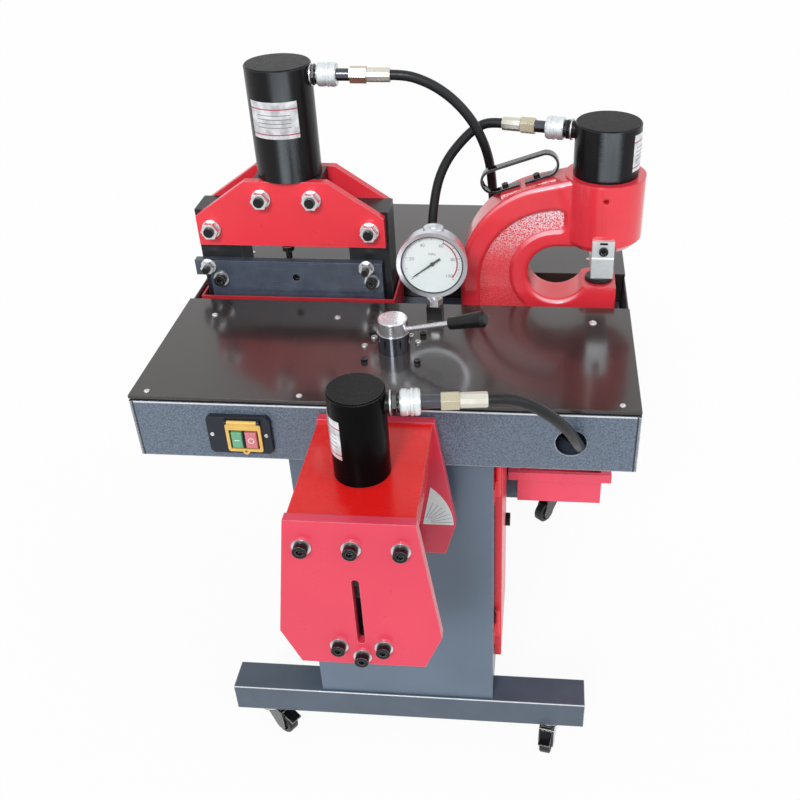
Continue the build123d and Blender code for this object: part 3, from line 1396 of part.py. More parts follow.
# Bender head: top plate and guide block between the plates
bend_axis_y = bend_front + BEND_AXIS_BACK
bend_head_top = bend_top - BEND_HEAD_TOP
guide_top = bend_head_top - BEND_HEAD
guide_bottom = guide_top - GUIDE_HEIGHT
with BuildPart() as bender_head:
    block(
        BENDER_X - BEND_HEAD_HALF, BENDER_X + BEND_HEAD_HALF, bend_front, bend_rear, guide_top, bend_head_top
    )
    block(BENDER_X - GUIDE_HALF, BENDER_X + GUIDE_HALF, bend_front, bend_rear, guide_bottom, guide_top)
    with BuildSketch(Plane.XY.offset(guide_bottom)):
        with Locations((BENDER_X, bend_axis_y)):
            Circle(BEND_ROD_R + 2 * FIT)
    extrude(amount=bend_head_top - guide_bottom, mode=Mode.SUBTRACT)
    with BuildSketch(upright(bend_front)):
        with Locations(*bend_screws[:3]):
            Circle(BEND_SCREW_R + HOLE_FIT)
    extrude(amount=BEND_PLATE - BEND_SCREW_DEPTH, mode=Mode.SUBTRACT)
bender_head.part.label = "bender_head"
export_step(bender_head.part, "parts/bender_head.step")

# Bender cylinder on the top plate, with its port turned a little to the back
bender_turn = radians(BENDER_COUPLER_TURN)
bender_port = Plane(
    origin=(
        BENDER_X + (BEND_CYLINDER_R - PORT_DEPTH) * cos(bender_turn),
        bend_axis_y + (BEND_CYLINDER_R - PORT_DEPTH) * sin(bender_turn),
        bend_head_top + BEND_CYLINDER - BENDER_PORT_DROP,
    ),
    x_dir=(0, 0, 1),
    z_dir=(cos(bender_turn), sin(bender_turn), 0),
)
with BuildPart() as bender_cylinder:
    with Locations((BENDER_X, bend_axis_y, bend_head_top)):
        add(cylinder_shell(BEND_CYLINDER_R, BEND_CYLINDER, BEND_STROKE))
    round_bar(bender_port, 0, 0, port_r, 2 * PORT_DEPTH, Mode.SUBTRACT)
bender_cylinder.part.label = "bender_cylinder"
export_step(bender_cylinder.part, "parts/bender_cylinder.step")

# Bender ram: rod and piston with a wedge former and the guide pin that shows in the slot
nose_tip = bend_top - BEND_NOSE_DROP
nose_top = guide_bottom - SIDE_GAP
former_front = bend_front + SIDE_GAP
former_back = bend_rear - SIDE_GAP
with BuildPart() as bender_ram:
    with BuildSketch(upright(former_back)):
        with BuildLine():
            Polyline(
                (BENDER_X - NOSE_HALF, nose_top),
                (BENDER_X - NOSE_HALF, nose_top - NOSE_BLOCK),
                (BENDER_X - NOSE_TIP_HALF, nose_tip),
                (BENDER_X + NOSE_TIP_HALF, nose_tip),
                (BENDER_X + NOSE_HALF, nose_top - NOSE_BLOCK),
                (BENDER_X + NOSE_HALF, nose_top),
                close=True,
            )
        make_face()
    extrude(amount=former_back - former_front)
    round_bar(upright(former_front), BENDER_X, bend_top - GUIDE_PIN_DROP, GUIDE_PIN_R, GUIDE_PIN)
    with Locations((BENDER_X, bend_axis_y, bend_head_top)):
        add(piston_rod(BEND_CYLINDER_R, BEND_ROD_R, BEND_STROKE, nose_top - bend_head_top))
bender_ram.part.label = "bender_ram"
export_step(bender_ram.part, "parts/bender_ram.step")

# Bender die: V block held between the plates
v_top = bend_top - V_DIE_TOP
v_bottom = bend_top - BEND_PLATE_HEIGHT
with BuildPart() as bender_die:
    with BuildSketch(upright(bend_rear)):
        with BuildLine():
            Polyline(
                (BENDER_X - V_DIE_HALF, v_bottom),
                (BENDER_X - V_DIE_HALF, v_top),
                (BENDER_X - V_WIDTH / 2, v_top),
                (BENDER_X, v_top - V_DEPTH),
                (BENDER_X + V_WIDTH / 2, v_top),
                (BENDER_X + V_DIE_HALF, v_top),
                (BENDER_X + V_DIE_HALF, v_bottom),
                close=True,
            )
        make_face()
    extrude(amount=BEND_PLATE_GAP)
    with BuildSketch(upright(bend_front)):
        with Locations(*bend_screws[3:]):
            Circle(BEND_SCREW_R + HOLE_FIT)
    extrude(amount=BEND_PLATE - BEND_SCREW_DEPTH, mode=Mode.SUBTRACT)
bender_die.part.label = "bender_die"
export_step(bender_die.part, "parts/bender_die.step")

# Valve body: round neck through the cover and a square base block under it
neck_top = TABLE_TOP + VALVE_NECK
valve_base_top = TABLE_TOP - SHEET
with BuildPart() as valve_body:
    block(
        -VALVE_BASE / 2,
        VALVE_BASE / 2,
        valve_y - VALVE_BASE / 2,
        valve_y + VALVE_BASE / 2,
        valve_base_top - VALVE_BASE_HEIGHT,
        valve_base_top,
    )
    round_bar(Plane.XY.offset(valve_base_top), 0, valve_y, VALVE_R, neck_top - valve_base_top)
    round_bar(Plane.XY.offset(neck_top), 0, valve_y, SPINDLE_R + FIT, -SPINDLE_DEPTH - PLAY, Mode.SUBTRACT)
valve_body.part.label = "valve_body"
export_step(valve_body.part, "parts/valve_body.step")

# Valve lever: turned hub on its spindle, with the sloping rod
hub_bottom = neck_top + PLAY
lever_tilt = radians(LEVER_SLOPE)
lever_swing = radians(LEVER_SWING)
lever_plane = Plane(
    origin=(0, valve_y, hub_bottom + LEVER_UP),
    x_dir=(-sin(lever_swing), cos(lever_swing), 0),
    z_dir=(cos(lever_tilt) * cos(lever_swing), cos(lever_tilt) * sin(lever_swing), sin(lever_tilt)),
)
with BuildPart() as valve_lever:
    round_bar(Plane.XY.offset(hub_bottom), 0, valve_y, HUB_R, HUB_HEIGHT)
    fillet(valve_lever.edges().group_by(Axis.Z)[-1], HUB_EDGE)
    round_bar(Plane.XY.offset(hub_bottom), 0, valve_y, SPINDLE_R, -SPINDLE_DEPTH)
    round_bar(lever_plane.offset(LEVER_START), 0, 0, LEVER_R, LEVER_REACH - LEVER_START)
valve_lever.part.label = "valve_lever"
export_step(valve_lever.part, "parts/valve_lever.step")

# Lever grip: tapered knob on the end of the rod
grip_section = [
    (0, GRIP_SEAT),
    (LEVER_R, GRIP_SEAT),
    (LEVER_R, 0),
    (GRIP_R_IN, 0),
    (GRIP_R_OUT, GRIP_LENGTH - GRIP_EDGE),
    (GRIP_R_OUT - GRIP_EDGE, GRIP_LENGTH),
    (0, GRIP_LENGTH),
]
grip_plane = lever_plane.offset(LEVER_REACH - GRIP_SEAT)
lever_grip = turned(grip_section).moved(grip_plane.location)
lever_grip.label = "lever_grip"
export_step(lever_grip, "parts/lever_grip.step")

# Gauge stand: square block on the cover, hexagon and stem
gauge_y = back(GAUGE_SETBACK)
gauge_z = TABLE_TOP + GAUGE_UP
stand_y = gauge_y + (BEZEL_DEPTH + GAUGE_DEPTH) / 2
gauge_boss_bottom = gauge_z - GAUGE_R - GAUGE_BOSS_DROP
gauge_block_top = TABLE_TOP + GAUGE_BLOCK_HEIGHT
stem_length = gauge_boss_bottom - gauge_block_top
with BuildPart() as gauge_stand:
    with Locations((GAUGE_X, stand_y, TABLE_TOP + GAUGE_BLOCK_HEIGHT / 2)):
        Box(GAUGE_BLOCK, GAUGE_BLOCK, GAUGE_BLOCK_HEIGHT)
    with BuildSketch(Plane.XY.offset(gauge_block_top)):
        with Locations((GAUGE_X, stand_y)):
            RegularPolygon(GAUGE_NUT_R, 6, major_radius=False)
    extrude(amount=GAUGE_NUT)
    round_bar(Plane.XY.offset(gauge_block_top), GAUGE_X, stand_y, GAUGE_STEM_R, stem_length)
gauge_stand.part.label = "gauge_stand"
export_step(gauge_stand.part, "parts/gauge_stand.step")

# Gauge case: bezel, cup and bottom boss, turned about the dial's axis
dial_back = gauge_y + DIAL_DEPTH + DIAL_THICK
case_back = gauge_y + GAUGE_DEPTH
lip_back = gauge_y + BEZEL_LIP
cup_back = case_back - GAUGE_BACK
with BuildPart() as gauge_case:
    round_bar(upright(gauge_y + BEZEL_DEPTH), GAUGE_X, gauge_z, BEZEL_R, BEZEL_DEPTH)
    round_bar(upright(case_back), GAUGE_X, gauge_z, GAUGE_R, GAUGE_DEPTH)
    fillet(gauge_case.edges().group_by(Axis.Y)[-1], GAUGE_EDGE)
    round_bar(Plane.XY.offset(gauge_boss_bottom), GAUGE_X, stand_y, GAUGE_BOSS_R, GAUGE_R / 2)
    round_bar(upright(dial_back), GAUGE_X, gauge_z, DIAL_R + HOLE_FIT, dial_back - lip_back, Mode.SUBTRACT)
    round_bar(upright(cup_back), GAUGE_X, gauge_z, BEZEL_OPENING_R, cup_back - gauge_y, Mode.SUBTRACT)
gauge_case.part.label = "gauge_case"
export_step(gauge_case.part, "parts/gauge_case.step")

# Gauge dial on its shoulder, with the spindle's hole
with BuildPart() as gauge_dial:
    with BuildSketch(upright(dial_back)):
        with Locations((GAUGE_X, gauge_z)):
            Circle(DIAL_R)
            Circle(NEEDLE_SPINDLE_R + FIT, mode=Mode.SUBTRACT)
    extrude(amount=DIAL_THICK)
gauge_dial.part.label = "gauge_dial"
export_step(gauge_dial.part, "parts/gauge_dial.step")

# Gauge needle: tapered pointer with its tail and spindle
needle_turn = radians(NEEDLE_ANGLE)
needle_back = gauge_y + DIAL_DEPTH - NEEDLE_STANDOFF
needle_plane = Plane(
    origin=(GAUGE_X, needle_back, gauge_z),
    x_dir=(cos(needle_turn), 0, sin(needle_turn)),
    z_dir=(0, -1, 0),
)
with BuildPart() as gauge_needle:
    with BuildSketch(needle_plane):
        with BuildLine():
            Polyline(
                (-NEEDLE_TAIL, -NEEDLE_HALF),
                (NEEDLE_LENGTH, -NEEDLE_POINT_HALF),
                (NEEDLE_LENGTH, NEEDLE_POINT_HALF),
                (-NEEDLE_TAIL, NEEDLE_HALF),
                close=True,
            )
        make_face()
        Circle(NEEDLE_HUB_R)
    extrude(amount=NEEDLE_THICK)
    round_bar(needle_plane, 0, 0, NEEDLE_SPINDLE_R, -NEEDLE_STANDOFF - DIAL_THICK)
gauge_needle.part.label = "gauge_needle"
export_step(gauge_needle.part, "parts/gauge_needle.step")

# Gauge lens behind the bezel's lip
with BuildPart() as gauge_lens:
    round_bar(upright(lip_back + LENS_THICK), GAUGE_X, gauge_z, DIAL_R, LENS_THICK)
gauge_lens.part.label = "gauge_lens"
export_step(gauge_lens.part, "parts/gauge_lens.step")

# Switch box: cornered plate on the apron, box behind it, two flap ears with the hinge pin
plate_face = FRONT_Y - SWITCH_PLATE
box_back = FRONT_Y + SHEET + SWITCH_BOX_DEPTH
button_z = switch_z - BUTTON_DROP
buttons = {
    "start_button": (SWITCH_X + BUTTON_START_AT, BUTTON_START_WIDTH),
    "stop_button": (SWITCH_X + BUTTON_STOP_AT, BUTTON_STOP_WIDTH),
}
flap_x = SWITCH_X + FLAP_AT
flap_top = switch_z + FLAP_TOP
flap_hinge_z = flap_top + FLAP_HINGE_R
flap_back = plate_face - FLAP_ROOM
flap_hinge_y = flap_back - FLAP_HINGE_R
ear_in = FLAP_WIDTH / 2 - FLAP_EAR
with BuildPart() as switch_box:
    with BuildSketch(upright(FRONT_Y)):
        with Locations((SWITCH_X, switch_z)):
            plate_outline = Rectangle(SWITCH_WIDTH, SWITCH_HEIGHT)
        chamfer(plate_outline.vertices(), SWITCH_CUT)
    extrude(amount=SWITCH_PLATE)
    block(
        SWITCH_X - SWITCH_BOX_WIDTH / 2,
        SWITCH_X + SWITCH_BOX_WIDTH / 2,
        FRONT_Y,
        box_back,
        switch_z - SWITCH_BOX_HEIGHT / 2,
        switch_z + SWITCH_BOX_HEIGHT / 2,
    )
    block(
        SWITCH_X - SWITCH_BOX_WIDTH / 2 + SWITCH_BOX_WALL,
        SWITCH_X + SWITCH_BOX_WIDTH / 2 - SWITCH_BOX_WALL,
        FRONT_Y,
        box_back - SWITCH_BOX_WALL,
        switch_z - SWITCH_BOX_HEIGHT / 2 + SWITCH_BOX_WALL,
        switch_z + SWITCH_BOX_HEIGHT / 2 - SWITCH_BOX_WALL,
        mode=Mode.SUBTRACT,
    )
    for button_x, button_width in buttons.values():
        with BuildSketch(upright(FRONT_Y)):
            with Locations((button_x, button_z)):
                Rectangle(button_width + 2 * BUTTON_GAP, BUTTON_HEIGHT + 2 * BUTTON_GAP)
        extrude(amount=SWITCH_PLATE, mode=Mode.SUBTRACT)
    for side in (-1, 1):
        ear_x = flap_x + side * (FLAP_WIDTH / 2 - FLAP_EAR / 2)
        with BuildSketch(sideways(ear_x - FLAP_EAR / 2)):
            with Locations((flap_hinge_y, flap_hinge_z)):
                Circle(FLAP_HINGE_R)
            with Locations(((flap_hinge_y + plate_face) / 2, flap_hinge_z)):
                Rectangle(plate_face - flap_hinge_y, 2 * FLAP_HINGE_R)
        extrude(amount=FLAP_EAR)
    round_bar(sideways(flap_x - ear_in), flap_hinge_y, flap_hinge_z, FLAP_PIN_R, 2 * ear_in)
switch_box.part.label = "switch_box"
export_step(switch_box.part, "parts/switch_box.step")

# Switch flap: hinged frame with its window and a pull ring
flap_bottom = flap_top - FLAP_HEIGHT
with BuildPart() as switch_flap:
    with BuildSketch(upright(flap_back)):
        with Locations((flap_x, (flap_top + flap_bottom) / 2)):
            RectangleRounded(FLAP_WIDTH, FLAP_HEIGHT, FLAP_FRAME)
        with Locations((flap_x, flap_bottom)):
            Circle(FLAP_TAB_R)
            Circle(FLAP_TAB_HOLE_R, mode=Mode.SUBTRACT)
        with Locations((flap_x, button_z)):
            Rectangle(FLAP_WINDOW_WIDTH, FLAP_WINDOW_HEIGHT, mode=Mode.SUBTRACT)
    extrude(amount=FLAP_THICK)
    knuckle_half = ear_in - PLAY
    with BuildSketch(sideways(flap_x - knuckle_half)):
        with Locations((flap_hinge_y, flap_hinge_z)):
            Circle(FLAP_HINGE_R)
        with Locations((flap_back - FLAP_THICK / 2, (flap_hinge_z + flap_top) / 2 - FLAP_FRAME / 2)):
            Rectangle(FLAP_THICK, flap_hinge_z - flap_top + FLAP_FRAME)
        with Locations((flap_hinge_y, flap_hinge_z)):
            Circle(FLAP_PIN_R + FIT, mode=Mode.SUBTRACT)
    extrude(amount=2 * knuckle_half)
switch_flap.part.label = "switch_flap"
export_step(switch_flap.part, "parts/switch_flap.step")

# Push buttons: domed keys with a flange behind the plate
key_front = plate_face - BUTTON_PROUD
key_back = key_front + BUTTON_LENGTH
for button_name, (button_x, button_width) in buttons.items():
    with BuildPart() as button:
        with BuildSketch(upright(key_back)):
            with Locations((button_x, button_z)):
                Rectangle(button_width, BUTTON_HEIGHT)
        extrude(amount=BUTTON_LENGTH)
        chamfer(button.faces().sort_by(Axis.Y)[0].edges(), BUTTON_GAP * 2)
        with BuildSketch(upright(FRONT_Y + PLAY + BUTTON_FLANGE)):
            with Locations((button_x, button_z)):
                Rectangle(button_width + 2 * BUTTON_FLANGE, BUTTON_HEIGHT + 2 * BUTTON_FLANGE)
        extrude(amount=BUTTON_FLANGE)
    button.part.label = button_name
    export_step(button.part, f"parts/{button_name}.step")

# Nuts and washers: both ends of the cutting head's studs, the blade studs, and washers under the screws
cut_outer = cut_front - CUT_PLATE
cut_rear = cut_back + CUT_PLATE
bend_outer = bend_front - BEND_PLATE
large_nut = nut_and_washer(NUT_R16, NUT_16, WASHER_R16, CUT_STUD_R)
small_nut = nut_and_washer(NUT_R12, NUT_12, WASHER_R12, JAW_STUD_R)
with BuildPart() as nuts_and_washers:
    with Locations(*[(x, cut_outer, z) for x, z in cut_studs]):
        add(large_nut)
    with Locations(*[(x, cut_rear, z) for x, z in cut_studs]):
        add(large_nut.rotate(Axis.Z, 180))
    with Locations(*[(x, cut_outer, z) for x, z in jaw_bolts[:2]]):
        add(small_nut)
    for washer_face, washer_places in ((cut_outer, jaw_bolts[2:]), (bend_outer, bend_screws)):
        with BuildSketch(upright(washer_face)):
            with Locations(*washer_places):
                Circle(WASHER_R12)
                Circle(JAW_STUD_R + HOLE_FIT, mode=Mode.SUBTRACT)
        extrude(amount=WASHER)
nuts_and_washers.part.label = "nuts_and_washers"
export_step(nuts_and_washers.part, "parts/nuts_and_washers.step")

# Studs and socket screws of the three heads, the valve base and the handle
bend_screw = socket_screw(
    SCREW_HEAD_R, SCREW_HEAD, SCREW_SOCKET_R, SCREW_SOCKET, BEND_SCREW_R, WASHER + BEND_SCREW_DEPTH
)
jaw_screw = socket_screw(
    SCREW_HEAD_R, SCREW_HEAD, SCREW_SOCKET_R, SCREW_SOCKET, JAW_STUD_R, WASHER + CUT_PLATE + JAW_STUD_DEPTH
)
small_screw = socket_screw(SMALL_HEAD_R, SMALL_HEAD, SMALL_SOCKET_R, SMALL_SOCKET, 0, 0).rotate(Axis.X, -90)
strap_top = Vector(*pad_origin) + Vector(*pad_up) * HANDLE_STRAP
hold_x = cutter_x + HOLD_DOWN_X
hold_y = cut_front - HOLD_DOWN_HEAD_R
hold_plane = Plane.XY.offset(cut_base + CUT_PLATE_BOTTOM)
with BuildPart() as socket_screws:
    with BuildSketch(upright(cut_rear + CUT_STUD_PROUD)):
        with Locations(*cut_studs):
            Circle(CUT_STUD_R)
    extrude(amount=cut_rear - cut_outer + 2 * CUT_STUD_PROUD)
    with BuildSketch(upright(cut_front + JAW_STUD_DEPTH)):
        with Locations(*jaw_bolts[:2]):
            Circle(JAW_STUD_R)
    extrude(amount=JAW_STUD_DEPTH + CUT_PLATE + JAW_STUD_PROUD)
    with Locations(*[(x, cut_outer - WASHER, z) for x, z in jaw_bolts[2:]]):
        add(jaw_screw)
    with Locations(*[(x, bend_outer - WASHER, z) for x, z in bend_screws]):
        add(bend_screw)
    with Locations((0, valve_y, TABLE_TOP)):
        with GridLocations(VALVE_SCREW_SPACING, VALVE_SCREW_SPACING, 2, 2):
            add(small_screw)
    for along in HANDLE_SCREWS:
        with Locations(Location(strap_top + Vector(*pad_x) * along, (0, -PAD_ANGLE, 0))):
            add(small_screw)
    round_bar(hold_plane, hold_x, hold_y, HOLD_DOWN_R, -HOLD_DOWN_DROP)
    round_bar(hold_plane, hold_x, hold_y, HOLD_DOWN_HEAD_R, -HOLD_DOWN_HEAD)
socket_screws.part.label = "socket_screws"
export_step(socket_screws.part, "parts/socket_screws.step")


def coupler(lengths):
    """Boss, ring, tube, hexagon and ferrule of a hose coupler, along Z from its seat, as touching pieces."""
    boss, ring, tube, nut, ferrule = lengths
    marks = [0, boss, boss + ring, boss + ring + tube, boss + ring + tube + nut]
    with BuildPart() as fitting:
        round_bar(Plane.XY, 0, 0, COUPLER_BOSS_R, boss)
        round_bar(Plane.XY.offset(marks[1]), 0, 0, COUPLER_RING_R, ring)
        round_bar(Plane.XY.offset(marks[2]), 0, 0, COUPLER_TUBE_R, tube)
        with BuildSketch(Plane.XY.offset(marks[3])):
            RegularPolygon(COUPLER_NUT_R, 6, major_radius=False)
        extrude(amount=nut)
        round_bar(Plane.XY.offset(marks[4]), 0, 0, FERRULE_R, ferrule)
    return fitting.part


# Hose fittings: couplers on the three cylinders, bulkheads on the bed and the valve's port
port_y = valve_y + VALVE_PORT_AT
port_z = TABLE_TOP - VALVE_PORT_DROP
port_end = VALVE_BASE / 2 + VALVE_PORT_HEX + VALVE_PORT_STUB
cutter_port = Plane(origin=(cutter_port_x, tool_y, cutter_port_z), x_dir=(0, 1, 0), z_dir=(1, 0, 0))
bulkhead_top = Plane.XY.offset(bed_top + BULKHEAD_HEX + BULKHEAD_STUB)
cutter_bulkhead = (cutter_x + CUTTER_BULKHEAD[0], CUTTER_BULKHEAD[1])
punch_bulkhead = (punch_x + PUNCH_BULKHEAD[0], PUNCH_BULKHEAD[1])
with BuildPart() as hose_fittings:
    with Locations(cutter_port.location):
        add(coupler(CUTTER_COUPLER))
    with Locations(punch_port.location):
        add(coupler(PUNCH_COUPLER))
    with Locations(bender_port.location):
        add(coupler(BENDER_COUPLER))
    for bulkhead_x, setback in (cutter_bulkhead, punch_bulkhead):
        with BuildSketch(Plane.XY.offset(bed_top)):
            with Locations((bulkhead_x, back(setback))):
                RegularPolygon(BULKHEAD_R, 6, major_radius=False)
        extrude(amount=BULKHEAD_HEX)
        round_bar(bulkhead_top, bulkhead_x, back(setback), COUPLER_TUBE_R, -BULKHEAD_STUB)
    with BuildSketch(sideways(VALVE_BASE / 2)):
        with Locations((port_y, port_z)):
            RegularPolygon(COUPLER_NUT_R, 6, major_radius=False)
    extrude(amount=VALVE_PORT_HEX)
    round_bar(sideways(port_end), port_y, port_z, FERRULE_R, -VALVE_PORT_STUB)
hose_fittings.part.label = "hose_fittings"
export_step(hose_fittings.part, "parts/hose_fittings.step")

# Hoses: round tubes along straight runs and tangent arcs, each from its coupler to its lower fitting
hoses = {
    "cutter_hose": (
        (cutter_port.offset(sum(CUTTER_COUPLER)), CUTTER_LEAD),
        (cutter_x, CUTTER_ROUTE),
        (Plane(origin=(cutter_bulkhead[0], back(cutter_bulkhead[1]), bulkhead_top.origin.Z)), CUTTER_LEAD_IN),
    ),
    "punch_hose": (
        (punch_port.offset(sum(PUNCH_COUPLER)), PUNCH_LEAD),
        (punch_x, PUNCH_ROUTE),
        (Plane(origin=(punch_bulkhead[0], back(punch_bulkhead[1]), bulkhead_top.origin.Z)), PUNCH_LEAD_IN),
    ),
    "bender_hose": (
        (bender_port.offset(sum(BENDER_COUPLER)), BENDER_LEAD),
        (0, BENDER_ROUTE),
        (Plane(origin=(port_end, port_y, port_z), z_dir=(1, 0, 0)), BENDER_LEAD_IN),
    ),
}
for hose_name, ((exit_face, lead), (route_x, route), (entry_face, lead_in)) in hoses.items():
    points = [exit_face.origin, exit_face.offset(lead).origin]
    points += [Vector(route_x + x, back(y), TABLE_TOP + z) for x, y, z in route]
    points += [entry_face.offset(lead_in).origin, entry_face.origin]
    runs = [after - before for before, after in zip(points, points[1:])]
    turns = [before.get_angle(after) for before, after in zip(runs, runs[1:])]
    radii = [
        BEND_SHARE * min(before.length, after.length) / tan(radians(turn) / 2)
        for before, after, turn in zip(runs, runs[1:], turns)
    ]
    with BuildPart() as hose:
        with BuildLine() as hose_line:
            FilletPolyline(*points, radius=radii)
        with BuildSketch(exit_face):
            Circle(HOSE_R)
        sweep()
    hose_length = hose_line.wire().length
    filled = hose.part.volume / (pi * HOSE_R**2 * hose_length)
    print(hose_name, "length", round(hose_length), "filled", round(filled, 4))
    print("radii", [round(r) for r in radii])
    hose.part.label = hose_name
    export_step(hose.part, f"parts/{hose_name}.step")

# Cable gland: hexagon, cap and locknut through the skirt's back
gland_section = [
    (GLAND_BORE_R, -SHEET - GLAND_LOCKNUT),
    (GLAND_HEX_R, -SHEET - GLAND_LOCKNUT),
    (GLAND_HEX_R, -SHEET),
    (GLAND_THREAD_R, -SHEET),
    (GLAND_THREAD_R, 0),
    (GLAND_HEX_R, 0),
    (GLAND_HEX_R, GLAND_HEX),
    (GLAND_CAP_R, GLAND_HEX),
    (GLAND_CAP_R, GLAND_HEX + GLAND_CAP),
    (GLAND_BORE_R, GLAND_HEX + GLAND_CAP),
]
gland_plane = Plane(origin=(gland_x, table_back, gland_z), x_dir=(1, 0, 0), z_dir=(0, 1, 0))
cable_gland = turned(gland_section).moved(gland_plane.location)
cable_gland.label = "cable_gland"
export_step(cable_gland, "parts/cable_gland.step")
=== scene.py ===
from math import cos, pi, radians, sin

import bpy
from mathutils import Matrix, Vector


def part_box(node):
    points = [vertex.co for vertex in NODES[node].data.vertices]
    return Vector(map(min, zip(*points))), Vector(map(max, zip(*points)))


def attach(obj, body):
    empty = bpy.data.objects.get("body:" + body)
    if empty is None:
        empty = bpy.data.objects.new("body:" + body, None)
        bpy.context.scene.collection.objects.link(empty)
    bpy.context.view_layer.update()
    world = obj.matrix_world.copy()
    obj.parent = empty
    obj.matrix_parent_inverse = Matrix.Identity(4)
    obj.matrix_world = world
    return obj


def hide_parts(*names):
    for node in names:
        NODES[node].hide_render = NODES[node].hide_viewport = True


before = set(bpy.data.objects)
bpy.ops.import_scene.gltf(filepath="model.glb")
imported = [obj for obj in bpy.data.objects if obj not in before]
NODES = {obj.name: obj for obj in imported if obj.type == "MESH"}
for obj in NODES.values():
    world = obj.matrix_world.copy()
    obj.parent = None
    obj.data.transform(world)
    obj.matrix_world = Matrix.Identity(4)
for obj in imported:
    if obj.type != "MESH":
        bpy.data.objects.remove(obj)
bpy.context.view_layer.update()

MM = 0.001
bpy.ops.object.select_all(action="DESELECT")


def at(x, y, z):
    """A place in millimetres of the machine's frame, in metres."""
    return Vector((x, y, z)) * MM


# Camera at the photograph's angle: turns in radians, place in millimetres, lengths in the picture in pixels

VIEW_TURN = -0.094
VIEW_DIP = 0.605
VIEW_ROLL = -0.0215
VIEW_PLACE = (214.3, -1328.8, 1559.1)
FOCAL_PX = 966.17
FRAME_PX = 800.0
SENSOR = 36.0
SHIFT_X = -0.0753
SHIFT_Y = 0.0041

look = Vector((sin(VIEW_TURN) * cos(VIEW_DIP), cos(VIEW_TURN) * cos(VIEW_DIP), -sin(VIEW_DIP)))
level = Vector((cos(VIEW_TURN), -sin(VIEW_TURN), 0))
upward = level.cross(look)
view_x = level * cos(VIEW_ROLL) + upward * sin(VIEW_ROLL)
view_y = upward * cos(VIEW_ROLL) - level * sin(VIEW_ROLL)
bpy.ops.object.camera_add()
camera = bpy.context.object
camera.name = "photo_camera"
camera.data.sensor_width = SENSOR
camera.data.lens = FOCAL_PX * SENSOR / FRAME_PX
camera.data.shift_x = SHIFT_X
camera.data.shift_y = SHIFT_Y
camera.data.clip_start = 0.05
camera.data.clip_end = 60
view_axes = Matrix((view_x, view_y, -look)).transposed().to_4x4()
camera.matrix_world = Matrix.Translation(at(*VIEW_PLACE)) @ view_axes
bpy.context.scene.camera = camera


# Finishes, with their sizes in metres

EDGE_SAMPLES = 4
EDGE_FROM = 0.8
EDGE_TO = 0.99
# Where the painted highlight on rounded edges between an upright face and a top fades in
HIGHLIGHT_FROM = 0.3
HIGHLIGHT_TO = 0.48
# Size of the patches in which edges turn pale, as rubbed paint and as painted highlight
EDGE_PATCH_SIZE = 0.012


def shader_of(name):
    """A new material with its Principled shader, and the Object coordinates that its patterns read."""
    material = bpy.data.materials.new(name)
    material.use_nodes = True
    nodes = material.node_tree.nodes
    shader = nodes["Principled BSDF"]
    places = nodes.new("ShaderNodeTexCoord")
    return material, nodes, material.node_tree.links, shader, places.outputs["Object"]


def noise_of(nodes, links, places, size, detail=3.0, stretch=None):
    """Noise whose spots are about this large in metres."""
    noise = nodes.new("ShaderNodeTexNoise")
    noise.inputs["Scale"].default_value = 1.0 / size
    noise.inputs["Detail"].default_value = detail
    if stretch:
        mapping = nodes.new("ShaderNodeMapping")
        mapping.inputs["Scale"].default_value = stretch
        links.new(places, mapping.inputs["Vector"])
        places = mapping.outputs["Vector"]
    links.new(places, noise.inputs["Vector"])
    return noise.outputs["Fac"]


def range_of(nodes, links, value, low, high, start=0.3, end=0.7):
    """A value spread to a range."""
    spread = nodes.new("ShaderNodeMapRange")
    spread.inputs["From Min"].default_value = start
    spread.inputs["From Max"].default_value = end
    spread.inputs["To Min"].default_value = low
    spread.inputs["To Max"].default_value = high
    links.new(value, spread.inputs["Value"])
    return spread.outputs["Result"]


def product_of(nodes, links, first, second):
    """Two values multiplied."""
    product = nodes.new("ShaderNodeMath")
    product.operation = "MULTIPLY"
    links.new(first, product.inputs[0])
    links.new(second, product.inputs[1])
    return product.outputs["Value"]


def size_of(nodes, links, value):
    """A value without its sign."""
    unsigned = nodes.new("ShaderNodeMath")
    unsigned.operation = "ABSOLUTE"
    links.new(value, unsigned.inputs[0])
    return unsigned.outputs["Value"]


def mix_of(nodes, links, factor, first, second):
    """A blend of two colours; each is a colour or a socket."""
    mix = nodes.new("ShaderNodeMix")
    mix.data_type = "RGBA"
    links.new(factor, mix.inputs["Factor"])
    for socket, value in ((mix.inputs[6], first), (mix.inputs[7], second)):
        if isinstance(value, bpy.types.NodeSocket):
            links.new(value, socket)
        else:
            socket.default_value = (*value, 1)
    return mix.outputs[2]


def shade(colour, by):
    """A colour made lighter or darker."""
    return tuple(min(1.0, c * by) for c in colour)


def parts_of(nodes, links, vector):
    """A vector's three parts, by letter."""
    parts = nodes.new("ShaderNodeSeparateXYZ")
    links.new(vector, parts.inputs["Vector"])
    return parts.outputs


def rounded_normal(nodes, width):
    """The surface's normal with its edges rounded to a width."""
    rounded = nodes.new("ShaderNodeBevel")
    rounded.samples = EDGE_SAMPLES
    rounded.inputs["Radius"].default_value = width
    return rounded.outputs["Normal"]


def edge_mask(nodes, links, width):
    """How near a surface is to an outer edge, from its rounded normal."""
    geometry = nodes.new("ShaderNodeNewGeometry")
    dot = nodes.new("ShaderNodeVectorMath")
    dot.operation = "DOT_PRODUCT"
    links.new(rounded_normal(nodes, width), dot.inputs[0])
    links.new(geometry.outputs["Normal"], dot.inputs[1])
    return range_of(nodes, links, dot.outputs["Value"], 1.0, 0.0, EDGE_FROM, EDGE_TO)


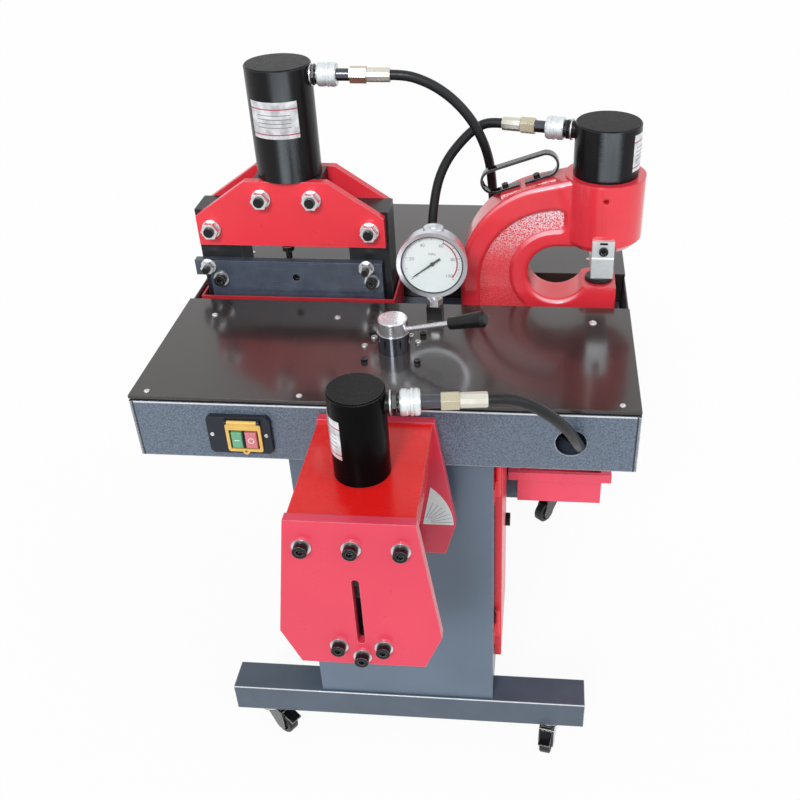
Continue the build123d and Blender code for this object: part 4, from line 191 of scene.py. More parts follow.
def worn(nodes, links, places, cover, wear_and_highlight):
    """A cover colour turned to another along the edges, in patches: rubbed paint on some finishes, a painted
    highlight on others; colour, width, least and greatest share.
    """
    colour, width, least, most = wear_and_highlight
    patches = noise_of(nodes, links, places, EDGE_PATCH_SIZE, 6.0)
    patch_share = range_of(nodes, links, patches, least, most, 0.35, 0.65)
    share = product_of(nodes, links, edge_mask(nodes, links, width), patch_share)
    return mix_of(nodes, links, share, cover, colour)


def crest_mask(nodes, links):
    """Where a painted highlight goes: 1 along the rounded edges between an upright face and a top, 0 on the
    faces.
    """
    geometry = nodes.new("ShaderNodeNewGeometry")
    facing = parts_of(nodes, links, geometry.outputs["Normal"])
    turn = product_of(nodes, links, size_of(nodes, links, facing["Y"]), facing["Z"])
    return range_of(nodes, links, turn, 0.0, 1.0, HIGHLIGHT_FROM, HIGHLIGHT_TO)


def bump_of(nodes, links, shader, height, depth, edge):
    """Grain of a given depth on rounded edges."""
    bump = nodes.new("ShaderNodeBump")
    bump.inputs["Strength"].default_value = 1.0
    bump.inputs["Distance"].default_value = depth
    links.new(height, bump.inputs["Height"])
    if edge:
        links.new(rounded_normal(nodes, edge), bump.inputs["Normal"])
    links.new(bump.outputs["Normal"], shader.inputs["Normal"])


def gloss_of(shader, metal, specular, coat, coat_rough):
    """The shader's even values."""
    shader.inputs["Metallic"].default_value = metal
    shader.inputs["Specular IOR Level"].default_value = specular
    shader.inputs["Coat Weight"].default_value = coat
    shader.inputs["Coat Roughness"].default_value = coat_rough


def finish(
    name,
    colour,
    rough,
    metal=0.0,
    specular=0.5,
    coat=0.0,
    coat_rough=0.06,
    tone=0.08,
    tone_size=0.06,
    grain=0.00003,
    grain_size=0.0012,
    edge=0.0008,
    wear_and_highlight=None,
    painted_highlight=None,
    stretch=None,
):
    """A finish with uneven tone and gloss, fine grain, rounded edges and, if given, pale edges (rubbed paint
    on some finishes, painted highlight on others) and a painted highlight on rounded edges that face up.
    """
    material, nodes, links, shader, places = shader_of(name)
    gloss_of(shader, metal, specular, coat, coat_rough)
    cloud = range_of(nodes, links, noise_of(nodes, links, places, tone_size, 4.0), 0, 1)
    cover = mix_of(nodes, links, cloud, shade(colour, 1 - tone), shade(colour, 1 + tone))
    if wear_and_highlight:
        cover = worn(nodes, links, places, cover, wear_and_highlight)
    # Painted highlight on rounded edges that face up and out
    if painted_highlight:
        cover = mix_of(nodes, links, crest_mask(nodes, links), cover, painted_highlight)
    links.new(cover, shader.inputs["Base Color"])
    smear = noise_of(nodes, links, places, tone_size / 3, 5.0, stretch)
    links.new(range_of(nodes, links, smear, rough * 0.82, rough * 1.18), shader.inputs["Roughness"])
    bump_of(nodes, links, shader, noise_of(nodes, links, places, grain_size, 2.0, stretch), grain, edge)
    return material


# The table's sheet: a painted highlight along its top fold, a painted shadow line just under its top where
# the cover overhangs, and painted shadow lines on its front before its ends, where it meets the side sheets
FOLD_HIGHLIGHT_FROM = 0.0040
FOLD_HIGHLIGHT_TO = 0.0031
GAP_SHADOW_FROM = 0.0019
GAP_SHADOW_TO = 0.0013
SEAM_SHADOW_OUTER = (0.0036, 0.0030)
SEAM_SHADOW_INNER = (0.0010, 0.0004)
SHADOW_LINE_SHADE = 0.12


def hammered(name, colour, rough, cell, depth, wear_and_highlight, crown, end):
    """Hammered enamel: dimples with darker joints, a painted highlight along the sheet's top fold, and
    painted shadow lines under its top and before its ends.
    """
    material, nodes, links, shader, places = shader_of(name)
    gloss_of(shader, metal=0.0, specular=0.45, coat=0.4, coat_rough=0.12)
    cells = nodes.new("ShaderNodeTexVoronoi")
    cells.feature = "SMOOTH_F1"
    cells.inputs["Scale"].default_value = 1 / cell
    cells.inputs["Smoothness"].default_value = 0.5
    cells.inputs["Randomness"].default_value = 1.0
    links.new(places, cells.inputs["Vector"])
    dimple = cells.outputs["Distance"]
    fleck = range_of(nodes, links, noise_of(nodes, links, places, cell * 0.7, 2.0), 0, 1, 0.35, 0.65)
    base = mix_of(nodes, links, fleck, shade(colour, 0.72), shade(colour, 1.3))
    joint = range_of(nodes, links, dimple, 0.0, 0.6, 0.4, 0.75)
    cover = mix_of(nodes, links, joint, base, shade(colour, 0.42))
    spots = parts_of(nodes, links, places)
    # Painted highlight along the top fold
    fold_highlight = range_of(nodes, links, spots["Z"], 0.0, 0.8, crown - FOLD_HIGHLIGHT_FROM, crown - FOLD_HIGHLIGHT_TO)
    cover = worn(nodes, links, places, mix_of(nodes, links, fold_highlight, cover, wear_and_highlight[0]), wear_and_highlight)
    # Painted shadow line under the cover's edge
    gap_shadow = range_of(nodes, links, spots["Z"], 0.0, 1.0, crown - GAP_SHADOW_FROM, crown - GAP_SHADOW_TO)
    dark = shade(colour, SHADOW_LINE_SHADE)
    cover = mix_of(nodes, links, gap_shadow, cover, dark)
    # Painted shadow lines on the front faces, just inside the ends
    sideways = size_of(nodes, links, spots["X"])
    outer = range_of(nodes, links, sideways, 0.0, 1.0, end - SEAM_SHADOW_OUTER[0], end - SEAM_SHADOW_OUTER[1])
    inner = range_of(nodes, links, sideways, 1.0, 0.0, end - SEAM_SHADOW_INNER[0], end - SEAM_SHADOW_INNER[1])
    seam_shadow = product_of(nodes, links, outer, inner)
    geometry = nodes.new("ShaderNodeNewGeometry")
    facing = parts_of(nodes, links, geometry.outputs["Normal"])
    front = range_of(nodes, links, size_of(nodes, links, facing["Y"]), 0.0, 1.0, 0.6, 0.8)
    cover = mix_of(nodes, links, product_of(nodes, links, seam_shadow, front), cover, dark)
    links.new(cover, shader.inputs["Base Color"])
    links.new(range_of(nodes, links, fleck, rough * 0.8, rough * 1.2, 0, 1), shader.inputs["Roughness"])
    hollow = range_of(nodes, links, dimple, 1.0, 0.0, 0.0, 1.0)
    bump_of(nodes, links, shader, hollow, depth, 0.002)
    return material


# Heights between which the painted glints on the casting come up
GLINT_FROM = 0.865
GLINT_TO = 0.94


def sparkling(name, colour, glint, size, depth):
    """Rough casting under glossy enamel: lumps, and painted glints in its colour, more of them higher up."""
    material, nodes, links, shader, places = shader_of(name)
    gloss_of(shader, metal=0.0, specular=0.5, coat=1.0, coat_rough=0.04)
    lumps = noise_of(nodes, links, places, size, 3.0)
    specks = range_of(nodes, links, noise_of(nodes, links, places, size * 0.6, 2.0), 0.0, 1.0, 0.42, 0.56)
    heights = parts_of(nodes, links, places)["Z"]
    band = range_of(nodes, links, heights, 0.05, 1.0, GLINT_FROM, GLINT_TO)
    # Painted glints: pale specks mixed into the colour within the height band
    cover = mix_of(nodes, links, product_of(nodes, links, specks, band), colour, glint)
    links.new(cover, shader.inputs["Base Color"])
    links.new(range_of(nodes, links, lumps, 0.16, 0.3), shader.inputs["Roughness"])
    bump_of(nodes, links, shader, lumps, depth, 0.002)
    return material


RED = (0.89, 0.040, 0.062)
# The red paint with a painted pink sheen of the bright floor, for the bender's plates
SHEEN_RED = (0.77, 0.055, 0.105)
# The red paint in a deeper, darker copy for the bender's head, as its top looks under the light: painted
# shade
SHADED_HEAD_RED = (0.84, 0.013, 0.012)
# The red paint in a lighter, pinker copy for the scrap pan, which sits in the table's shade: painted light
LIT_PAN_RED = (0.86, 0.088, 0.155)
# Pale red for painted highlights along the edges of the red finishes
HIGHLIGHT_RED = (0.95, 0.38, 0.46)
GRAPHITE = (0.034, 0.028, 0.027)
# Dark grey paint with a painted bluish sheen of the bright floor mixed into its colour
GREY_WITH_SHEEN = (0.124, 0.168, 0.232)
# Slate grey paint with a painted bluish sheen of the bright floor mixed into its colour
SLATE_WITH_SHEEN = (0.108, 0.152, 0.212)
BLACK = (0.005, 0.005, 0.006)
# Dark steel with a painted bluish sheen of the bright floor mixed in, for the cutter's jaw
INK_WITH_SHEEN = (0.056, 0.072, 0.108)
GLINT = (0.62, 0.63, 0.66)
STEEL = (0.55, 0.56, 0.57)

# Red finishes: their pale edges are painted highlights
red_enamel = finish(
    "red_enamel", RED, 0.3, specular=0.35, coat=0.1, tone=0.05, tone_size=0.2, edge=0.0015,
    wear_and_highlight=(HIGHLIGHT_RED, 0.0018, 0.3, 0.8),
)
# Bender's plates: the red with the painted pink sheen
sheen_red_enamel = finish(
    "sheen_red_enamel", SHEEN_RED, 0.3, specular=0.35, coat=0.1, tone=0.05, tone_size=0.2, edge=0.0015,
    wear_and_highlight=(HIGHLIGHT_RED, 0.0018, 0.3, 0.8),
)
head_enamel = finish(
    "head_enamel", SHADED_HEAD_RED, 0.26, specular=0.35, coat=0.1, tone=0.05, edge=0.0015,
    wear_and_highlight=(HIGHLIGHT_RED, 0.0018, 0.2, 0.7),
)
tray_enamel = finish("tray_enamel", shade(RED, 0.62), 0.36, specular=0.35, coat=0.1, tone=0.08)
# The casting's pale pink on rounded edges that face up is a painted highlight
cast_enamel = finish(
    "cast_enamel", shade(RED, 0.95), 0.22, specular=0.4, coat=0.4, coat_rough=0.05, tone=0.06, grain=0.0005,
    grain_size=0.014, edge=0.006, painted_highlight=(0.97, 0.46, 0.53),
)
# Scrap pan: the red lightened with painted light
pan_enamel = finish(
    "pan_enamel", LIT_PAN_RED, 0.3, specular=0.35, coat=0.1, tone=0.05, tone_size=0.2, edge=0.0015,
    wear_and_highlight=(HIGHLIGHT_RED, 0.0018, 0.3, 0.8),
)
rough_cast_enamel = sparkling(
    "rough_cast_enamel", (0.87, 0.05, 0.07), glint=(1.0, 0.88, 0.95), size=0.0036, depth=0.0018
)
cover_enamel = finish(
    "cover_enamel", GRAPHITE, 0.2, coat=0.3, coat_rough=0.1, tone=0.14, tone_size=0.2, grain=0.00003,
    grain_size=0.0025, edge=0.0015, wear_and_highlight=((0.2, 0.19, 0.19), 0.0015, 0.1, 0.5),
)
panel_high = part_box("front_panel")[1]
# Its pale bluish edge colour is painted highlight, along the top fold and on the edges
hammered_enamel = hammered(
    "hammered_enamel", GREY_WITH_SHEEN, 0.34, cell=0.0026, depth=0.0005, wear_and_highlight=((0.8, 0.85, 0.9), 0.0026, 0.7, 1.0),
    crown=panel_high[2], end=panel_high[0],
)
column_enamel = finish(
    "column_enamel", SLATE_WITH_SHEEN, 0.34, specular=0.45, coat=0.15, coat_rough=0.2, tone=0.07, tone_size=0.12,
    edge=0.0015, wear_and_highlight=((0.3, 0.33, 0.37), 0.002, 0.2, 0.6),
)
# The foot's pale edges, and its pale rounded edges that face up, are painted highlights
foot_enamel = finish(
    "foot_enamel", shade(SLATE_WITH_SHEEN, 0.62), 0.36, coat=0.15, tone=0.1, edge=0.002,
    wear_and_highlight=((0.72, 0.74, 0.77), 0.0028, 0.45, 1.0), painted_highlight=(0.66, 0.69, 0.74),
)
black_enamel = finish(
    "black_enamel", BLACK, 0.27, specular=0.18, tone=0.25, tone_size=0.03, grain=0.00002, edge=0.0012,
    wear_and_highlight=((0.22, 0.22, 0.24), 0.0012, 0.4, 1.0), stretch=(1, 1, 0.1),
)
deep_black = finish(
    "deep_black", shade(BLACK, 0.5), 0.26, specular=0.05, tone=0.2, tone_size=0.03, grain=0.00001,
    edge=0.0012, wear_and_highlight=((0.22, 0.22, 0.24), 0.0012, 0.4, 1.0),
)
# Pale edges here are painted highlights
gloss_black = finish(
    "gloss_black", BLACK, 0.1, specular=0.5, coat=0.4, tone=0.2, tone_size=0.02, edge=0.0014,
    wear_and_highlight=((0.55, 0.55, 0.57), 0.0018, 0.0, 1.0),
)
black_oxide = finish(
    "black_oxide", (0.014, 0.016, 0.020), 0.34, specular=0.32, tone=0.25, tone_size=0.025, grain=0.00003,
    grain_size=0.002, edge=0.0008, wear_and_highlight=((0.2, 0.22, 0.26), 0.0014, 0.2, 0.8), stretch=(0.12, 1, 1),
)
# Cutter's jaw: dark steel with a painted bluish floor sheen in its colour
jaw_steel_and_sheen = finish(
    "jaw_steel_and_sheen", INK_WITH_SHEEN, 0.26, specular=0.5, tone=0.25, tone_size=0.025, grain=0.00003, grain_size=0.002,
    edge=0.0008, wear_and_highlight=((0.2, 0.22, 0.26), 0.0014, 0.2, 0.8), stretch=(0.12, 1, 1),
)
screw_black = finish(
    "screw_black", (0.006, 0.006, 0.007), 0.24, specular=0.28, tone=0.2, tone_size=0.01, edge=0.0005,
    wear_and_highlight=(GLINT, 0.0007, 0.3, 1.0),
)
zinc_plate = finish(
    "zinc_plate", (0.70, 0.71, 0.73), 0.34, metal=0.9, tone=0.08, tone_size=0.006, grain=0.000006,
    edge=0.0006,
)
sleeve_plate = finish(
    "sleeve_plate", (0.76, 0.81, 0.83), 0.34, metal=0.6, tone=0.05, tone_size=0.006, grain=0.000006,
    edge=0.0008,
)
ferrule_plate = finish(
    "ferrule_plate", (0.68, 0.66, 0.59), 0.36, metal=0.8, tone=0.05, tone_size=0.03, grain=0.000003, edge=0
)
brass_plate = finish(
    "brass_plate", (0.60, 0.55, 0.41), 0.3, metal=0.9, tone=0.05, tone_size=0.02, grain=0.000004, edge=0.0012
)
dark_chrome = finish(
    "dark_chrome", (0.10, 0.10, 0.12), 0.12, metal=1.0, tone=0.06, tone_size=0.01, grain=0.000003
)
ground_steel = finish(
    "ground_steel", STEEL, 0.34, metal=1.0, tone=0.06, tone_size=0.05, grain=0.000006, stretch=(0.08, 1, 1)
)
neck_steel = finish(
    "neck_steel", (0.20, 0.22, 0.26), 0.16, metal=1.0, tone=0.06, tone_size=0.02, grain=0.000003, edge=0.0008
)
bright_steel = finish(
    "bright_steel", (0.64, 0.65, 0.68), 0.28, metal=0.9, tone=0.04, tone_size=0.03, grain=0.000001, edge=0
)
satin_steel = finish(
    "satin_steel", (0.70, 0.73, 0.78), 0.38, metal=1.0, tone=0.05, tone_size=0.06, grain=0.000002, edge=0
)
hose_rubber = finish(
    "hose_rubber", (0.010, 0.011, 0.013), 0.34, specular=0.32, tone=0.15, tone_size=0.02, grain=0.00006,
    grain_size=0.0009, edge=0,
)
tyre_rubber = finish("tyre_rubber", (0.012, 0.012, 0.013), 0.4, specular=0.4, tone=0.2, tone_size=0.01)
black_plastic = finish(
    "black_plastic", (0.007, 0.007, 0.008), 0.3, specular=0.32, tone=0.12, grain=0.00005, grain_size=0.0008
)
switch_plastic = finish(
    "switch_plastic", (0.014, 0.018, 0.030), 0.42, specular=0.35, tone=0.12, grain=0.00006, grain_size=0.0007
)
yellow_plastic = finish(
    "yellow_plastic", (0.84, 0.55, 0.13), 0.3, tone=0.05, tone_size=0.02,
    wear_and_highlight=((0.95, 0.8, 0.45), 0.001, 0.2, 0.7),
)
green_plastic = finish("green_plastic", (0.15, 0.46, 0.26), 0.26, tone=0.05, tone_size=0.01)
stop_plastic = finish("stop_plastic", (0.70, 0.22, 0.25), 0.26, tone=0.05, tone_size=0.01)
dial_card = finish("dial_card", (0.92, 1.0, 1.0), 0.5, specular=0.3, tone=0.02, edge=0)
print_and_shadow_black = finish("print_and_shadow_black", (0.02, 0.02, 0.022), 0.5, tone=0.05, edge=0)
print_grey = finish("print_grey", (0.26, 0.26, 0.27), 0.5, tone=0.05, edge=0)
print_red = finish("print_red", (0.46, 0.02, 0.07), 0.5, tone=0.05, edge=0)
print_white = finish("print_white", (0.82, 0.82, 0.8), 0.5, tone=0.04, edge=0)
scale_card = finish("scale_card", (0.84, 0.97, 1.0), 0.35, tone=0.06, tone_size=0.02, edge=0)
plate_foil = finish(
    "plate_foil", (0.72, 0.74, 0.77), 0.3, metal=0.7, tone=0.3, tone_size=0.012, edge=0, stretch=(1, 1, 0.06)
)
tank_enamel = finish("tank_enamel", (0.13, 0.14, 0.15), 0.4, tone=0.08)
motor_enamel = finish("motor_enamel", (0.10, 0.16, 0.23), 0.42, tone=0.08, grain=0.0001, grain_size=0.003)

lens_glass, lens_nodes, lens_links, lens_shader, lens_places = shader_of("lens_glass")
lens_shader.inputs["Base Color"].default_value = (0.95, 0.98, 1.0, 1)
lens_shader.inputs["Alpha"].default_value = 0.05
lens_haze = noise_of(lens_nodes, lens_links, lens_places, 0.02)
lens_links.new(range_of(lens_nodes, lens_links, lens_haze, 0.02, 0.06), lens_shader.inputs["Roughness"])

# Nodes in one finish; those in two or more are dressed further down
NODE_FINISH = {
    "base_frame": foot_enamel,
    "caster_plates": zinc_plate,
    "oil_tank": tank_enamel,
    "motor": motor_enamel,
    "pump": ground_steel,
    "table_frame": foot_enamel,
    "front_cover": cover_enamel,
    "front_panel": hammered_enamel,
    "table_skirt": hammered_enamel,
    "rear_cover": cover_enamel,
    "cutter_tray": tray_enamel,
    "socket_screws": screw_black,
    "nuts_and_washers": zinc_plate,
    "gauge_case": satin_steel,
    "gauge_dial": dial_card,
    "gauge_lens": lens_glass,
    "switch_box": switch_plastic,
    "cutter_plates": red_enamel,
    "cutter_blocks": black_oxide,
    "punch_die": black_oxide,
    "punch_stripper": sleeve_plate,
    "punch_handle": gloss_black,
    "bender_plates": sheen_red_enamel,
    "bender_head": head_enamel,
    "bender_die": black_oxide,
    "cable_gland": black_plastic,
    "valve_lever": bright_steel,
    "lever_grip": black_plastic,
    "cabinet_door": red_enamel,
    "door_latch": black_plastic,
    "scrap_pan": pan_enamel,
    "gauge_needle": print_and_shadow_black,
    "switch_flap": yellow_plastic,
    "start_button": green_plastic,
    "stop_button": stop_plastic,
    "cutter_ram": black_oxide,
    "punch_ram": ground_steel,
}
for corner in ("fl", "fr", "rl", "rr"):
    NODE_FINISH[f"caster_fork_{corner}"] = gloss_black
    NODE_FINISH[f"caster_wheel_{corner}"] = tyre_rubber
for corner in ("fl", "fr"):
    NODE_FINISH[f"caster_brake_{corner}"] = gloss_black


def dress(node, *materials):
    """A CAD node's finishes, the first of them all over."""
    slots = NODES[node].data.materials
    slots.clear()
    for material in materials:
        slots.append(material)
    for face in NODES[node].data.polygons:
        face.material_index = 0


def dress_where(node, base, extra, wanted):
    """A node in one finish, with a second on the faces whose centre and normal pass a test."""
    dress(node, base, extra)
    for face in NODES[node].data.polygons:
        if wanted(face.center / MM, face.normal):
            face.material_index = 1


for node, material in NODE_FINISH.items():
    dress(node, material)

# Least share of a normal along an axis, on a face that looks that way
FACING = 0.9

# Rough skin on the casting's sunk web, which lies behind its rim on both sides
WEB_FRONT = 70.0
WEB_REAR = 138.0
WEB_END = 262.0
dress_where(
    "punch_frame", cast_enamel, rough_cast_enamel,
    lambda place, normal: WEB_FRONT < place.y < WEB_REAR and abs(normal.y) > FACING and place.x < WEB_END,
)

# Cylinders: the caps of the two rear ones and the wall of the front one are the deeper black
for cylinder in ("cutter_cylinder", "punch_cylinder"):
    dress_where(cylinder, black_enamel, deep_black, lambda place, normal: normal.z > FACING)
dress_where("bender_cylinder", deep_black, black_enamel, lambda place, normal: normal.z > FACING)

# Painted shade: the blind hole in the jaw's face is black inside
JAW_HALF = 143.0
JAW_HOLE_UP = 82.0
JAW_HOLE_R = 6.2
JAW_HOLE_DEPTH = 8.5
JAW_SKIN = 0.05
jaw_low, jaw_high = (Vector(corner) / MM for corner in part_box("cutter_jaw"))
jaw_hole = Vector((jaw_high.x - JAW_HALF, jaw_low.z + JAW_HOLE_UP))
dress_where(
    "cutter_jaw", jaw_steel_and_sheen, screw_black,
    lambda place, normal: JAW_SKIN < place.y - jaw_low.y < JAW_HOLE_DEPTH
    and (Vector((place.x, place.z)) - jaw_hole).length < JAW_HOLE_R,
)

# The cabinet's hinge leaves carry the door's red
HINGE_HEIGHTS = (280.0, 600.0)
HINGE_HALF = 34.0
door_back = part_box("cabinet_door")[0][0] / MM - 1.0
dress_where(
    "cabinet_shell", column_enamel, red_enamel,
    lambda place, normal: place.x > door_back and min(abs(place.z - z) for z in HINGE_HEIGHTS) < HINGE_HALF,
)

# Painted shade: the bender's guide pin is black where the front plate's slot shows it
PIN_BACK = -430.0
dress_where("bender_ram", ground_steel, screw_black, lambda place, normal: place.y < PIN_BACK)

# Gauge stand: black block, plated hexagon and stem
STAND_BLOCK_TOP = 824.01
dress_where("gauge_stand", screw_black, zinc_plate, lambda place, normal: place.z > STAND_BLOCK_TOP)

# The valve's hub is bright, its neck dark
HUB_BOTTOM = 829.0
dress_where("valve_body", neck_steel, bright_steel, lambda place, normal: place.z > HUB_BOTTOM)

# Couplers along each port's axis: black nipple, plated sleeve, dark tube, brass nut and ferrule
PUNCH_TURN = radians(13)
BENDER_TURN = radians(6.5)
punch_port_dir = Vector((-cos(PUNCH_TURN), sin(PUNCH_TURN), 0))
bender_port_dir = Vector((cos(BENDER_TURN), sin(BENDER_TURN), 0))
COUPLERS = {
    "cutter": (Vector((-137, 104, 1149)), Vector((1, 0, 0)), (15, 28, 20, 25, 35)),
    "punch": (Vector((311, 104, 1066)) + punch_port_dir * 45, punch_port_dir, (22.3, 27.2, 18.1, 22.1, 29.2)),
    "bender": (Vector((-5, -365, 884)) + bender_port_dir * 32, bender_port_dir, (22, 25, 25, 23, 35)),
}
COUPLER_REACH = 25.0
STEP_SLOTS = (1, 2, 3, 4, 0)
PLAIN_SLOT = 5
dress("hose_fittings", ferrule_plate, screw_black, sleeve_plate, dark_chrome, brass_plate, zinc_plate)
for face in NODES["hose_fittings"].data.polygons:
    face.material_index = PLAIN_SLOT
    for origin, axis, lengths in COUPLERS.values():
        offset = face.center / MM - origin
        along = offset.dot(axis)
        aside = (offset - axis * along).length
        if aside < COUPLER_REACH and -COUPLER_REACH < along < sum(lengths) + 1:
            step = sum(along > sum(lengths[: count + 1]) - 0.01 for count in range(4))
            face.material_index = STEP_SLOTS[step]


# Hoses along their routes

HOSE_R = 7.5
HOSE_ROUTES = {
    "cutter_hose": (
        461,
        [
            (-14, 104, 1149), (4, 104, 1149), (26, 104, 1144.5), (54, 104, 1132), (82, 104, 1111),
            (106, 104, 1083), (122, 110, 1050), (131, 124, 1014), (134, 142, 976), (136, 153, 936),
            (137.5, 156, 894), (138.5, 155.5, 852), (139, 151.5, 812), (139, 151.5, 778),
        ],
    ),
    "punch_hose": (
        349,
        [
            (151.3, 140.9, 1066), (131.8, 145.4, 1066), (114.5, 146.5, 1060), (99, 145.5, 1048.5),
            (83.5, 143.5, 1032.5), (68, 141.5, 1013.3), (56, 137.5, 992.5), (47.5, 132.5, 969.5),
            (42, 125.5, 941.2), (38.8, 116, 909.9), (37.8, 108.5, 875.3), (37.8, 105, 840), (38, 104, 808),
            (38, 104, 778),
        ],
    ),
    "bender_hose": (
        509,
        [
            (155.96, -346.66, 884), (173.84, -344.62, 884), (192, -340.5, 879.5), (208, -335.5, 870.5),
            (223.5, -330, 858), (236, -324, 845), (247.5, -316.5, 830), (257.5, -307.5, 813),
            (266, -296, 793), (273, -280, 770), (278, -256, 746), (278, -229, 730), (266, -196, 721),
            (243, -166, 718), (211, -145, 718), (174, -132.5, 719), (136, -127, 721.5), (100, -125, 725),
            (72, -125, 725),
        ],
    ),
}
for hose_name, (hose_length, route) in HOSE_ROUTES.items():
    line = bpy.data.curves.new(f"{hose_name}_line", "CURVE")
    line.dimensions = "3D"
    spline = line.splines.new("NURBS")
    spline.points.add(len(route) - 1)
    for point, place in zip(spline.points, route):
        point.co = (*at(*place), 1)
    spline.order_u = 3
    spline.use_endpoint_u = True
    spline.resolution_u = 10
    line.bevel_depth = HOSE_R * MM
    line.bevel_resolution = 6
    line.use_fill_caps = True
    line.materials.append(hose_rubber)
    hose = bpy.data.objects.new(f"{hose_name}_tube", line)
    bpy.context.scene.collection.objects.link(hose)
    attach(hose, "machine")
    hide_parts(hose_name)


# Small pieces that the CAD model leaves to the scene


def keep(piece, name, body, slot, *materials):
    """Names a finished piece, gives it its finishes and the body it moves with."""
    piece.name = name
    piece.data.name = name
    piece.data.materials.clear()
    for material in materials:
        piece.data.materials.append(material)
    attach(piece, body)


def only(piece):
    """Makes a piece the one that operators act on."""
    bpy.ops.object.select_all(action="DESELECT")
    piece.select_set(True)
    bpy.context.view_layer.objects.active = piece


def settle(piece):
    """Puts a piece's place into its mesh and shades its rounds smooth."""
    only(piece)
    bpy.ops.object.transform_apply(location=True, rotation=True, scale=True)
    bpy.ops.object.shade_smooth_by_angle(angle=radians(32))
    return piece


def thicken(piece, thickness):
    """A wall of a given thickness in millimetres, half of it on each side of a sheet."""
    only(piece)
    wall = piece.modifiers.new("wall", "SOLIDIFY")
    wall.thickness = thickness * MM
    wall.offset = 0
    bpy.ops.object.modifier_apply(modifier="wall")
    return piece


def turned(outline, sides, place, axis):
    """A turned piece: a disc drawn out ring by ring through radii and heights, laid along an axis."""
    bpy.ops.object.select_all(action="DESELECT")
    first_r, first_z = outline[0]
    bpy.ops.mesh.primitive_circle_add(
        vertices=sides, radius=first_r * MM, fill_type="NGON", location=(0, 0, first_z * MM)
    )
    piece = bpy.context.object
    bpy.ops.object.transform_apply(location=True, rotation=True, scale=True)
    bpy.ops.object.mode_set(mode="EDIT")
    bpy.ops.mesh.select_all(action="SELECT")
    for (r0, z0), (r1, z1) in zip(outline, outline[1:]):
        bpy.ops.mesh.extrude_region_move(TRANSFORM_OT_translate={"value": (0, 0, (z1 - z0) * MM)})
        bpy.ops.transform.resize(value=(r1 / r0, r1 / r0, 1), center_override=(0, 0, z1 * MM))
    bpy.ops.mesh.select_all(action="SELECT")
    bpy.ops.mesh.normals_make_consistent(inside=False)
    bpy.ops.object.mode_set(mode="OBJECT")
    piece.rotation_mode = "QUATERNION"
    piece.rotation_quaternion = Vector((0, 0, 1)).rotation_difference(Vector(axis))
    piece.location = place
    return settle(piece)


def faces_where(piece, wanted):
    """Selects the faces that pass a test, with the piece left in edit mode."""
    only(piece)
    bpy.ops.object.mode_set(mode="EDIT")
    bpy.ops.mesh.select_mode(type="FACE")
    bpy.ops.mesh.select_all(action="DESELECT")
    bpy.ops.object.mode_set(mode="OBJECT")
    for face in piece.data.polygons:
        face.select = bool(wanted(face))
    bpy.ops.object.mode_set(mode="EDIT")


def bar(x, y, z, width, depth, height, edge):
    """A block with bevelled edges, by its centre and sizes in millimetres."""
    bpy.ops.object.select_all(action="DESELECT")
    bpy.ops.mesh.primitive_cube_add(
        size=1, location=at(x, y, z), scale=(width * MM, depth * MM, height * MM)
    )
    piece = bpy.context.object
    bpy.ops.object.transform_apply(location=True, rotation=True, scale=True)
    bpy.ops.object.mode_set(mode="EDIT")
    bpy.ops.mesh.select_all(action="SELECT")
    bpy.ops.mesh.bevel(offset=edge * MM, segments=2, affect="EDGES")
    bpy.ops.object.mode_set(mode="OBJECT")
    return settle(piece)


def cut_away(piece, tool):
    """Takes a tool's shape out of a piece, and the tool with it."""
    only(piece)
    cut = piece.modifiers.new("cut", "BOOLEAN")
    cut.operation = "DIFFERENCE"
    cut.solver = "EXACT"
    cut.object = tool
    bpy.ops.object.modifier_apply(modifier="cut")
    bpy.data.objects.remove(tool)


def copy_to(piece, move):
    """A copy of a piece with its own mesh, moved by a matrix."""
    twin = piece.copy()
    twin.data = piece.data.copy()
    twin.data.transform(move)
    bpy.context.scene.collection.objects.link(twin)
    return twin


def cross_screw(radius, height):
    """A pan-head screw with a cross recess, on the floor at the origin."""
    head = turned(
        [
            (radius, 0), (radius, height * 0.3), (radius * 0.9, height * 0.65), (radius * 0.65, height * 0.9),
            (radius * 0.3, height),
        ],
        sides=28, place=(0, 0, 0), axis=(0, 0, 1),
    )
    for width, depth in ((1.2 * radius, 0.24 * radius), (0.24 * radius, 1.2 * radius)):
        cut_away(head, bar(0, 0, height, width, depth, height * 0.9, 0.02 * radius))
    return head


# A plane squeezed to one edge, and the distances at which its corners and the spun rows join, in metres
SQUEEZED = 0.00001
CORNER_JOIN = 0.0001
ROW_JOIN = 0.00002


def spun_strip(centre, inner, outer, start, sweep, steps):
    """A flat ring sector that faces the front: one radial edge, spun counter-clockwise from an angle."""
    bpy.ops.object.select_all(action="DESELECT")
    middle = (inner + outer) / 2
    place = centre + Vector((middle * cos(radians(start)), 0, middle * sin(radians(start))))
    bpy.ops.mesh.primitive_plane_add(size=1, location=place * MM, rotation=(0, -radians(start), 0))
    strip = bpy.context.object
    strip.scale = ((outer - inner) * MM, SQUEEZED, 1)
    bpy.ops.object.transform_apply(location=True, rotation=True, scale=True)
    bpy.ops.object.mode_set(mode="EDIT")
    bpy.ops.mesh.select_mode(type="VERT")
    bpy.ops.mesh.select_all(action="SELECT")
    bpy.ops.mesh.remove_doubles(threshold=CORNER_JOIN)
    bpy.ops.mesh.select_all(action="SELECT")
    bpy.ops.mesh.spin(steps=steps, dupli=False, angle=radians(sweep), center=centre * MM, axis=(0, 1, 0))
    bpy.ops.mesh.select_all(action="SELECT")
    bpy.ops.mesh.remove_doubles(threshold=ROW_JOIN)
    bpy.ops.mesh.normals_make_consistent(inside=False)
    bpy.ops.object.mode_set(mode="OBJECT")
    return strip


